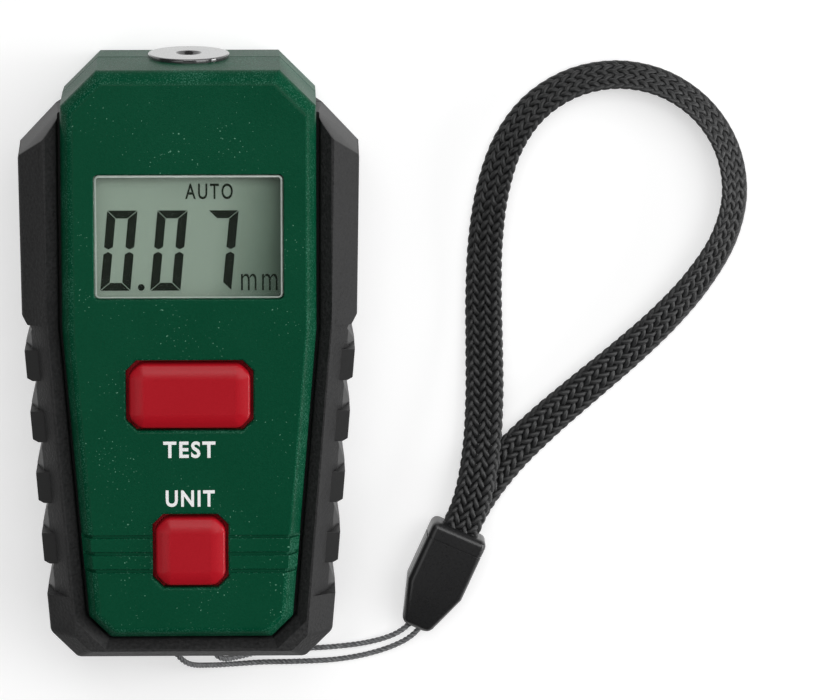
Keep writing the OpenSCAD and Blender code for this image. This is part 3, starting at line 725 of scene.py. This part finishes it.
# Smooth grip finish: real smoothness, and a darker colour than the grain that is painted shade.
grip_smooth_shaded = moulded("grip_smooth_shaded", (0.0125, 0.0125, 0.0127), (0.0170, 0.0170, 0.0172), rough=(0.42, 0.54),
                      grain=4200.0, depth=0.012, Specular_IOR_Level=0.3)
key_red = moulded("key_red", (0.360, 0.0042, 0.0110), (0.405, 0.0058, 0.0142), rough=(0.30, 0.40),
                  grain=3800.0, depth=0.012, Specular_IOR_Level=0.22)
clip_black = moulded("clip_black", (0.0100, 0.0100, 0.0105), (0.0150, 0.0150, 0.0155), rough=(0.24, 0.34),
                     grain=2600.0, depth=0.010)
print_white = moulded("print_white", (0.80, 0.81, 0.80), (0.90, 0.90, 0.90), rough=(0.45, 0.6),
                      grain=3000.0, depth=0.006)
display_ink = moulded("display_ink", (0.0060, 0.0085, 0.0060), (0.0090, 0.0125, 0.0090), rough=(0.45, 0.55),
                      grain=2000.0, depth=0.002, Specular_IOR_Level=0.0)
seal_black = moulded("seal_black", (0.010, 0.010, 0.010), (0.018, 0.018, 0.018), rough=(0.6, 0.75),
                     grain=2500.0, depth=0.02)
frame_grey = moulded("frame_grey", (0.030, 0.032, 0.034), (0.045, 0.047, 0.050), rough=(0.45, 0.6),
                     grain=2500.0, depth=0.02)
strip_pink = moulded("strip_pink", (0.42, 0.16, 0.22), (0.55, 0.24, 0.31), rough=(0.6, 0.75),
                     grain=1500.0, depth=0.02)
board_green = moulded("board_green", (0.012, 0.105, 0.035), (0.026, 0.150, 0.055), rough=(0.28, 0.4),
                      grain=900.0, depth=0.01)
part_black = moulded("part_black", (0.012, 0.012, 0.013), (0.02, 0.02, 0.021), rough=(0.35, 0.5),
                     grain=2500.0, depth=0.01)
part_tan = moulded("part_tan", (0.38, 0.28, 0.16), (0.50, 0.39, 0.24), rough=(0.4, 0.55),
                   grain=1500.0, depth=0.01)
part_pale = moulded("part_pale", (0.60, 0.57, 0.50), (0.70, 0.67, 0.60), rough=(0.4, 0.55),
                    grain=1500.0, depth=0.01)
lead_cream = moulded("lead_cream", (0.50, 0.45, 0.28), (0.60, 0.55, 0.37), rough=(0.4, 0.55),
                     grain=1800.0, depth=0.01)
probe_dark = turned_plastic()
cell_wrap = wrapped_can()
window_clear = clear_plastic()
# Pale colour for the lens's rounded rim: a painted highlight round the window.
window_rim_highlight = moulded("window_rim_highlight", (0.50, 0.56, 0.51), (0.64, 0.70, 0.65), rough=(0.12, 0.2),
                      grain=2500.0, depth=0.004, Transmission_Weight=0.35)
display_face = display_glass()
steel_core = metal("steel_core", (0.12, 0.12, 0.13), (0.18, 0.18, 0.19), rough=(0.26, 0.42),
                   stretch=(6.0, 1.0, 6.0))
steel_screw = metal("steel_screw", (0.42, 0.42, 0.43), (0.56, 0.56, 0.57), rough=(0.26, 0.40),
                    stretch=(1.0, 1.0, 4.0))
steel_spring = metal("steel_spring", (0.52, 0.54, 0.56), (0.62, 0.64, 0.66), rough=(0.2, 0.34),
                     stretch=(1.0, 5.0, 1.0))
copper_coil = metal("copper_coil", (0.40, 0.13, 0.04), (0.52, 0.20, 0.07), rough=(0.3, 0.42),
                    stretch=(1.0, 9.0, 1.0), scale=700.0)
cord_grey = yarn("cord_grey", (0.075, 0.077, 0.080), (0.260, 0.265, 0.270), rough=0.62,
                 streaks=7.0, depth=0.03)
braid_black = yarn("braid_black", (0.0065, 0.0067, 0.0070), (0.026, 0.0265, 0.027), rough=0.50,
                   streaks=8.0, depth=0.05)


# Case

# Openings of the face: centre, width, height and share of the rounding on the rim
OPENINGS = (
    (WINDOW_Y, WINDOW_W, WINDOW_H, 0.26),
    (TEST_Y, 21.1, 11.9, 0.59),
    (UNIT_Y, 12.6, 12.6, 0.59),
)
RIM_OUT = 0.2
RIM_IN = 2.6
LEVEL_SLACK = 0.05
FACE_EDGE_DROP = 2.05
FACE_EDGE_OUT = 13
GROOVE_BAND = 4.2
LAST_GROOVE_WALL = UNIT_Y + 2.7
GROOVE_SHARE = 0.16


def rim_share(p):
    """Share of the rounding where a place lies on the rim of an opening, or None elsewhere."""
    for y, w, h, share in OPENINGS:
        inside = abs(p[0]) < w / 2 + RIM_OUT and abs(p[1] - y) < h / 2 + RIM_OUT
        deep = abs(p[0]) < w / 2 - RIM_IN and abs(p[1] - y) < h / 2 - RIM_IN
        if inside and not deep:
            return share
    return None


def shell_rule(p, run, angle, edge):
    """Rounds the face, its openings and its outline, and the cross grooves a little."""
    if p[2] < SEAM_Z - 0.5 or angle < 0 and p[2] < FACE_Z - 3:
        return 0.0
    on_face = p[2] > FACE_Z - LEVEL_SLACK
    rim = rim_share(p)
    if rim is not None:
        return rim if on_face else 0.0
    if abs(p[1] - UNIT_Y) < GROOVE_BAND:
        return GROOVE_SHARE if on_face and run.length > 0.2 and p[1] < LAST_GROOVE_WALL else 0.0
    if on_face:
        return 1.0
    outline = max(abs(v.co[0]) / MM for v in edge.verts)
    if p[2] > FACE_Z - FACE_EDGE_DROP and outline > FACE_EDGE_OUT and angle > 0:
        return 1.0
    return 0.0


def painted_edge_glints(piece):
    """Green skin, with more bright points, painted glints, on the bevels and on the end walls."""
    paint(piece, case_green, edge_green_glints)
    for face in piece.data.polygons:
        n, y = face.normal, face.center[1] / MM
        wall = y > Y_END - 8 and n[1] > 0.6 and abs(n[2]) < 0.5
        face.material_index = 1 if wall or on_bevel(abs(n[2])) else 0


front_shell = copy_of("front_shell", "front_shell_moulding")
soften(front_shell, shell_rule, 0.75, 5)
painted_edge_glints(front_shell)
mounted(front_shell, "case", "green_case", "front_shell")


def rear_rule(p, run, angle, edge):
    """Rounds the edges of the back and of the slope round it."""
    if angle < 0 or p[2] > 1.3:
        return 0.0
    return 1.0 if p[2] < LEVEL_SLACK or p[2] > 1.1 else 0.3


rear_shell = copy_of("rear_shell", "rear_shell_moulding")
soften(rear_shell, rear_rule, 0.3, 3)
painted_edge_glints(rear_shell)
mounted(rear_shell, "case", "green_case", "rear_shell")


# Grips: reach of the side pads, start of the front facets and reach of the strap holes

PADS_START = Y_TAPER + 2.5
PADS_LENGTH = 48
GRIP_FRONT_Y = 36
STRAP_HOLES_OUT = 9


def grip_rule(p, run, angle, edge):
    """Rounds the grips: most at the strap end and on the long sides in front, less elsewhere."""
    side = abs(p[0])
    upright = abs(run[2]) > 0.8 * run.length
    if abs(p[2] - GROOVE_Z) < 0.1 or side < 22 and p[1] > Y_TAPER and upright:
        return 0.0
    if abs(p[2] - SEAM_Z) < 0.4:
        return 0.35 if side > 22 or p[1] < Y_STRAP + 0.4 else 0.0
    if side < STRAP_HOLES_OUT and p[1] < Y_CASE + 1 and abs(p[2] - STRAP_Z) < 1.3:
        return 0.3 if p[1] < Y_STRAP + LEVEL_SLACK else 0.0
    if angle < 0:
        return 0.0
    if p[2] > GRIP_TOP_Z - LEVEL_SLACK:
        return 0.0 if run.length < 0.6 else 0.1
    if side > 20 and PADS_START - PADS_LENGTH - 1 < p[1] < PADS_START:
        ends = p[1] > Y_TAPER - 0.3 or p[1] < Y_TAPER - 45.4
        return 0.0 if ends or p[2] > GRIP_TOP_Z - 0.6 else 0.25
    if p[1] > GRIP_FRONT_Y and p[2] > GRIP_SIDE_Z:
        return 0.2
    return 1.0 if p[2] > SEAM_Z else 0.3


def grip_bands(piece):
    """Grained skin on sides and bevels; smooth on ramps, shelves, front facets and the inner groove, with a
    darker colour there that is painted shade.
    """
    paint(piece, grip_grain, grip_smooth_shaded)
    for face in piece.data.polygons:
        p, n = Vector(face.center) / MM, face.normal
        side = abs(p[0])
        out = n[0] * (1 if p[0] > 0 else -1)
        pads = side > 18 and PADS_START - PADS_LENGTH < p[1] < PADS_START
        front = p[1] > GRIP_FRONT_Y - 0.1 and n[1] > 0.3
        ramp = pads and (n[1] > 0.2 and abs(n[2]) < 0.5 or out > 0.9 and 0.12 < n[2] < 0.4)
        shelf = pads and n[2] > 0.9 and abs(p[2] - GRIP_SIDE_Z) < 0.9
        groove = p[2] < GROOVE_Z + 2.3 and (out < -0.5 or n[2] > 0.9)
        face.material_index = 1 if front or ramp or shelf or groove else 0


BAND_WIDTH = 3.5


def split_bands(piece, *levels):
    """Cuts the long narrow flat bands of the grip into short faces, corner by corner."""
    work = bmesh.new()
    work.from_mesh(piece.data)
    for level in levels:
        band = [v for v in work.verts if abs(v.co[2] / MM - level) < LEVEL_SLACK]
        for a in band:
            others = [v for v in band if v is not a and not any(e.other_vert(a) is v for e in a.link_edges)]
            b = min(others, key=lambda v: (v.co - a.co).length, default=None)
            if b is not None and (b.co - a.co).length < BAND_WIDTH * MM:
                bmesh.ops.connect_verts(work, verts=[a, b])
    work.to_mesh(piece.data)
    work.free()


for node in ("front_grip", "rear_grip"):
    grip = copy_of(node, node + "_skin")
    if node == "front_grip":
        split_bands(grip, GRIP_TOP_Z, GROOVE_Z)
    soften(grip, grip_rule, 0.5, 3)
    grip_bands(grip)
    mounted(grip, "case", "soft_grip", node)


# Keys

KEY_SLOPE = 1.7
KEY_DROP = 0.75


def key_rule(top):
    def rule(p, run, angle, edge):
        if p[2] > top - LEVEL_SLACK:
            return 1.0
        if p[2] > top - KEY_DROP - LEVEL_SLACK:
            return 0.5
        upright = abs(run[2]) > 1.5 and p[2] > FACE_Z - 2.5
        return 0.9 if upright else 0.0
    return rule


def key_cap(node, name, body):
    """A key whose top slopes down to its sides."""
    key = copy_of(node, name)
    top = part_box(node)[1][2] / MM
    edit(key)
    pick_faces(key, lambda c, n: n[2] > 0.9 and c[2] > top - LEVEL_SLACK)
    bpy.ops.mesh.inset(thickness=KEY_SLOPE * MM)
    bpy.ops.mesh.select_all(action="INVERT")
    work = bmesh.from_edit_mesh(key.data)
    inner = {v for f in work.faces if not f.select for v in f.verts}
    for vert in work.verts:
        vert.select_set(vert.co[2] / MM > top - LEVEL_SLACK and vert not in inner)
    bmesh.update_edit_mesh(key.data)
    bpy.ops.transform.translate(value=(0, 0, -KEY_DROP * MM))
    rest()
    soften(key, key_rule(top), 0.85, 6)
    smooth(key, 50)
    paint(key, key_red)
    mounted(key, body, "red_key", node)


key_cap("test_button", "test_key_cap", "test_key")
key_cap("unit_button", "unit_key_cap", "unit_key")


# Display

def lens_rule(p, run, angle, edge):
    return 1.0 if p[2] > FACE_Z - 0.3 else 0.0


lens = copy_of("display_window", "display_lens")
soften(lens, lens_rule, 0.34, 3)
# The rim faces of the lens take the painted highlight colour.
paint(lens, window_clear, window_rim_highlight)
for face in lens.data.polygons:
    face.material_index = 1 if on_bevel(face.normal[2]) else 0
mounted(lens, "case", "clear_window", "display_window")

# Figures on the display: ink, size and slant of a figure, and its bars
INK_Z = LCD_TOP + 0.03
INK_T = 0.02
SEGMENTS = {"0": "abcdef", "7": "abc"}
FIGURE_W = 4.98
FIGURE_H = 13.5
FIGURE_SLANT = math.tan(math.radians(5.5))
FIGURE_BASE = WINDOW_Y - 9.42
BAR_ACROSS = 1.32
BAR_UPRIGHT = 1.46
BAR_GAP = 0.09


def plate(name, corners):
    """A thin flat plate on the display with the given corners, in millimetres."""
    rest()
    bpy.ops.mesh.primitive_circle_add(vertices=len(corners), radius=MM, fill_type="NGON")
    piece = bpy.context.object
    piece.name = name
    bpy.ops.object.mode_set(mode="EDIT")
    work = bmesh.from_edit_mesh(piece.data)
    for vert, (x, y) in zip(work.verts, corners):
        vert.co = Vector((x, y, INK_Z)) * MM
    bmesh.update_edit_mesh(piece.data)
    bpy.ops.mesh.select_all(action="SELECT")
    bpy.ops.mesh.extrude_region_move(TRANSFORM_OT_translate={"value": (0, 0, INK_T * MM)})
    bpy.ops.mesh.select_all(action="SELECT")
    bpy.ops.mesh.normals_make_consistent(inside=False)
    rest()
    return piece


def joined(name, pieces):
    rest()
    for piece in pieces:
        piece.select_set(True)
    bpy.context.view_layer.objects.active = pieces[0]
    bpy.ops.object.join()
    pieces[0].name = name
    rest()
    return pieces[0]


def digit(figure, x):
    """A slanted seven segment figure, with x at its lower left corner."""
    w, h, half = FIGURE_W, FIGURE_H, FIGURE_H / 2
    bar, gap, low = BAR_UPRIGHT, BAR_GAP, FIGURE_H - BAR_ACROSS
    shoulder, point = half + 0.62, half + 0.2
    flat = [(gap, h), (w - gap, h), (w - bar - gap, low), (bar + gap, low)]
    tall = [(0, h - gap), (bar, low - gap), (bar, shoulder), (bar / 2, point), (0, shoulder)]
    shapes = {
        "a": flat, "d": [(u, h - v) for u, v in flat], "f": tall, "e": [(u, h - v) for u, v in tall],
        "b": [(w - u, v) for u, v in tall], "c": [(w - u, h - v) for u, v in tall],
    }
    parts = []
    for letter in SEGMENTS[figure]:
        corners = [(x + u + FIGURE_SLANT * v, FIGURE_BASE + v) for u, v in shapes[letter]]
        parts.append(plate("segment", corners))
    return parts


def words(text, name, x, y, z, thick, bold, spacing):
    """Lettering as a thin mesh, fitted to a rectangle from its spans in x and y."""
    rest()
    bpy.ops.object.text_add()
    piece = bpy.context.object
    piece.name = name
    piece.data.body = text
    piece.data.offset = bold
    piece.data.space_character = spacing
    piece.data.extrude = 0.5
    piece.data.resolution_u = 4
    bpy.ops.object.convert(target="MESH")
    points = [v.co for v in piece.data.vertices]
    low = [min(p[i] for p in points) for i in range(3)]
    high = [max(p[i] for p in points) for i in range(3)]
    size = (x[1] - x[0], y[1] - y[0], thick)
    scale = [size[i] * MM / (high[i] - low[i]) for i in range(3)]
    start = Vector((x[0], y[0], z)) * MM
    piece.data.transform(Matrix.Translation(start) @ Matrix.Diagonal((*scale, 1.0))
                         @ Matrix.Translation(-Vector(low)))
    edit(piece)
    bpy.ops.mesh.select_all(action="SELECT")
    bpy.ops.mesh.remove_doubles(threshold=WELD_GAP)
    bpy.ops.mesh.normals_make_consistent(inside=False)
    rest()
    return piece


def display_figures():
    """The reading with its point, the mode above it and the unit beside it, as one thin piece."""
    parts = []
    for figure, x in (("0", -14.68), ("0", -6.42), ("7", 1.98)):
        parts += digit(figure, x)
    rest()
    bpy.ops.mesh.primitive_cylinder_add(vertices=24, radius=0.56 * MM, depth=INK_T * MM)
    point = bpy.context.object
    point.data.transform(Matrix.Translation(Vector((-7.9, FIGURE_BASE + 0.55, INK_Z + INK_T / 2)) * MM))
    parts.append(point)
    for text, name, x, low, high, bold, spacing in (
        ("AUTO", "auto_word", (-0.55, 7.31), 5.95, 8.6, 0.012, 1.25),
        ("mm", "unit_word", (8.58, 14.63), -9.4, -6.6, -0.005, 1.2),
    ):
        parts.append(words(text, name, x, (WINDOW_Y + low, WINDOW_Y + high), INK_Z, INK_T, bold, spacing))
    figures = joined("display_figures", parts)
    paint(figures, display_ink)
    mounted(figures, "case", "black_plastic")


display_figures()

PRINT_SUNK = 0.01
PRINT_T = 0.04
for text, x, y, w, h in (("TEST", -0.1, -13.52, 8.66, 2.86), ("UNIT", 0.0, -21.88, 8.15, 2.84)):
    label = words(text, text.lower() + "_label", (x - w / 2, x + w / 2), (y - h / 2, y + h / 2),
                  FACE_Z - PRINT_SUNK, PRINT_T, 0.028, 1.2)
    paint(label, print_white)
    mounted(label, "case", "pale_plastic")


# Probe

PROBE_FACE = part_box("probe_housing")[1][1] / MM
PROBE_RIM = 6


def probe_rule(p, run, angle, edge):
    """Rounds the rim of the disc and, less, the rim of its hole."""
    if p[1] < PROBE_FACE - LEVEL_SLACK:
        return 0.0
    return 1.0 if math.hypot(p[0], p[2] - SEAM_Z) > PROBE_RIM else 0.4


probe = copy_of("probe_housing", "probe_disc", merge=False)
soften(probe, probe_rule, 0.2, 3)
paint(probe, probe_dark)
mounted(probe, "case", "probe_plastic", "probe_housing")


# Back

def door_rule(p, run, angle, edge):
    return 1.0 if p[2] < 0.35 and angle > 0 else 0.0


door = copy_of("battery_door", "battery_door_panel")
soften(door, door_rule, 0.16, 2)
paint(door, case_green)
mounted(door, "door", "green_case", "battery_door")


# Strap

# Place along the clip, and the shares of its width and thickness there
CLIP_TIP = ((0.0, 0.50, 0.46), (2.6, 0.66, 0.66))
CLIP_SHOULDER = 8.0
CLIP_ROUND = 1.15
CLIP_SEAM = (0.9, 1.15)
CLIP_COLLAR = (CLIP_LEN - 3.0, CLIP_LEN - 2.7)
CLIP_GROOVE = 0.16
CLIP_LIP = 0.35
CLIP_MOUTH = 1.6


def clip_moulding():
    """Bullet shaped clip in two halves, with a mouth for the cord and a collar for the braid."""
    rest()
    bpy.ops.mesh.primitive_cube_add(size=1.0)
    clip = bpy.context.object
    clip.name = "strap_clip_moulding"
    bpy.ops.object.mode_set(mode="EDIT")
    bpy.ops.transform.resize(value=(CLIP_LEN * MM, CLIP_W * MM, CLIP_T * MM))
    bpy.ops.transform.translate(value=(CLIP_LEN / 2 * MM, 0, 0))
    for x in (CLIP_TIP[1][0], CLIP_SHOULDER):
        bpy.ops.mesh.select_all(action="SELECT")
        bpy.ops.mesh.bisect(plane_co=(x * MM, 0, 0), plane_no=(1, 0, 0))
    bpy.ops.mesh.select_all(action="DESELECT")
    for x, wide, tall in CLIP_TIP:
        work = bmesh.from_edit_mesh(clip.data)
        for v in work.verts:
            v.select_set(abs(v.co[0] / MM - x) < 0.01)
        bmesh.update_edit_mesh(clip.data)
        bpy.ops.transform.resize(value=(1, wide, tall), center_override=(x * MM, 0, 0))
    bpy.ops.mesh.select_all(action="DESELECT")
    pick_edges(clip, lambda e: e.calc_face_angle(0.0) > math.radians(40))
    bpy.ops.mesh.bevel(offset=CLIP_ROUND * MM, segments=5, profile=0.5, clamp_overlap=True)
    cuts = [((0, 0, z), (0, 0, 1)) for z in CLIP_SEAM] + [((x, 0, 0), (1, 0, 0)) for x in CLIP_COLLAR]
    for place, normal in cuts:
        bpy.ops.mesh.select_all(action="SELECT")
        bpy.ops.mesh.bisect(plane_co=Vector(place) * MM, plane_no=normal)

    def on_seam(c, n):
        return CLIP_SEAM[0] < c[2] < CLIP_SEAM[1] and c[0] < CLIP_COLLAR[0] and abs(n[2]) < 0.9

    def on_collar(c, n):
        return CLIP_COLLAR[0] < c[0] < CLIP_COLLAR[1] and abs(n[0]) < 0.5

    for groove in (on_seam, on_collar):
        bpy.ops.mesh.select_all(action="DESELECT")
        pick_faces(clip, groove)
        bpy.ops.mesh.extrude_region_shrink_fatten(TRANSFORM_OT_shrink_fatten={"value": -CLIP_GROOVE * MM})
    bpy.ops.mesh.select_all(action="DESELECT")
    pick_faces(clip, lambda c, n: n[0] < -0.95 and c[0] < 0.2)
    bpy.ops.mesh.inset(thickness=CLIP_LIP * MM)
    bpy.ops.mesh.extrude_region_move(TRANSFORM_OT_translate={"value": (CLIP_MOUTH * MM, 0, 0)})
    bpy.ops.mesh.select_all(action="SELECT")
    bpy.ops.mesh.remove_doubles(threshold=WELD_GAP)
    rest()
    spot = Matrix.Translation(Vector((CLIP_NOSE[0], CLIP_NOSE[1], CLIP_T / 2)) * MM)
    clip.data.transform(spot @ Matrix.Rotation(CLIP_TURN, 4, "Z"))
    smooth(clip, 40)
    paint(clip, clip_black)
    return clip


strap_clip = clip_moulding()
mounted(strap_clip, "case", "black_plastic", "strap_clip")
paint(strap_cord, cord_grey)
mounted(strap_cord, "case", "strap_cord", "strap_cord")
paint(strap_braid, braid_black)
mounted(strap_braid, "case", "strap_braid", "strap_braid")
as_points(cord_path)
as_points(braid_path)


# Finishes of the solids that stay as they are

for material, nodes in (
    (seal_black, ("window_seal",)), (display_face, ("lcd_panel",)), (frame_grey, ("lcd_frame",)),
    (strip_pink, ("zebra_strips",)), (board_green, ("circuit_board",)),
    (part_black, ("processor_chip", "test_switch", "unit_switch")), (part_tan, ("board_components",)),
    (part_pale, ("test_switch_plunger", "unit_switch_plunger")), (steel_core, ("probe_core",)),
    (copper_coil, ("probe_coil",)), (lead_cream, ("probe_leads",)),
    (cell_wrap, ("battery_left", "battery_right")),
    (steel_spring, ("battery_contact_plus", "battery_contact_minus", "battery_bridge")),
    (steel_screw, ("case_screws", "board_screws")),
):
    for node in nodes:
        paint(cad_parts[node], material)


# Floor and light

FLOOR_TONE = 0.60
FLOOR_GLOW = 0.50
WORLD_LEVEL = 0.08
LAMP_TARGET = Vector((0.02, 0, 0.01))
# Lamps: place, size and power
LAMPS = {
    "key_light": ((0.75, 0.35, 0.95), (0.8, 0.9), 7.0),
    "front_light": ((0.0, 0.5, 1.15), (0.6, 0.5), 4.0),
    "top_light": ((-0.05, 0.95, 0.75), (1.2, 0.6), 3.0),
    "fill_light": ((-0.6, -0.2, 1.1), (0.7, 0.8), 2.0),
    "edge_light": ((1.1, -0.15, 0.28), (0.9, 0.3), 8.0),
}


def studio_floor():
    """White paper that stays white to the camera and in reflections, and keeps the shadow."""
    rest()
    bpy.ops.mesh.primitive_plane_add(size=3.0, location=(0.04, 0.0, 0.0))
    floor = bpy.context.object
    floor.name = "studio_floor"
    paper = bpy.data.materials.new("white_paper")
    paper.use_nodes = True
    tree = paper.node_tree
    shader = tree.nodes["Principled BSDF"]
    shader.inputs["Base Color"].default_value = (FLOOR_TONE, FLOOR_TONE, FLOOR_TONE, 1.0)
    shader.inputs["Roughness"].default_value = 0.9
    shader.inputs["Specular IOR Level"].default_value = 0.0
    path = tree.nodes.new("ShaderNodeLightPath")
    direct = tree.nodes.new("ShaderNodeMath")
    direct.operation = "MAXIMUM"
    seen = tree.nodes.new("ShaderNodeMath")
    seen.operation = "MULTIPLY"
    seen.inputs[1].default_value = FLOOR_GLOW
    tree.links.new(path.outputs["Is Camera Ray"], direct.inputs[0])
    tree.links.new(path.outputs["Is Glossy Ray"], direct.inputs[1])
    tree.links.new(direct.outputs["Value"], seen.inputs[0])
    tree.links.new(seen.outputs["Value"], shader.inputs["Emission Strength"])
    shader.inputs["Emission Color"].default_value = (1, 1, 1, 1)
    paint(floor, paper)


def soft_box(name, place, size, power):
    data = bpy.data.lights.new(name, "AREA")
    data.shape = "RECTANGLE"
    data.size, data.size_y = size
    data.energy = power
    lamp = bpy.data.objects.new(name, data)
    bpy.context.scene.collection.objects.link(lamp)
    lamp.location = place
    lamp.rotation_euler = (LAMP_TARGET - Vector(place)).to_track_quat("-Z", "Y").to_euler()


def studio():
    world = bpy.data.worlds.new("studio")
    bpy.context.scene.world = world
    world.use_nodes = True
    tree = world.node_tree
    ground = tree.nodes["Background"]
    ground.inputs["Color"].default_value = (1, 1, 1, 1)
    path = tree.nodes.new("ShaderNodeLightPath")
    level = tree.nodes.new("ShaderNodeMix")
    level.inputs["A"].default_value = WORLD_LEVEL
    level.inputs["B"].default_value = 1.0
    tree.links.new(path.outputs["Is Camera Ray"], level.inputs["Factor"])
    tree.links.new(level.outputs["Result"], ground.inputs["Strength"])
    for name, (place, size, power) in LAMPS.items():
        soft_box(name, place, size, power)


studio_floor()
studio()
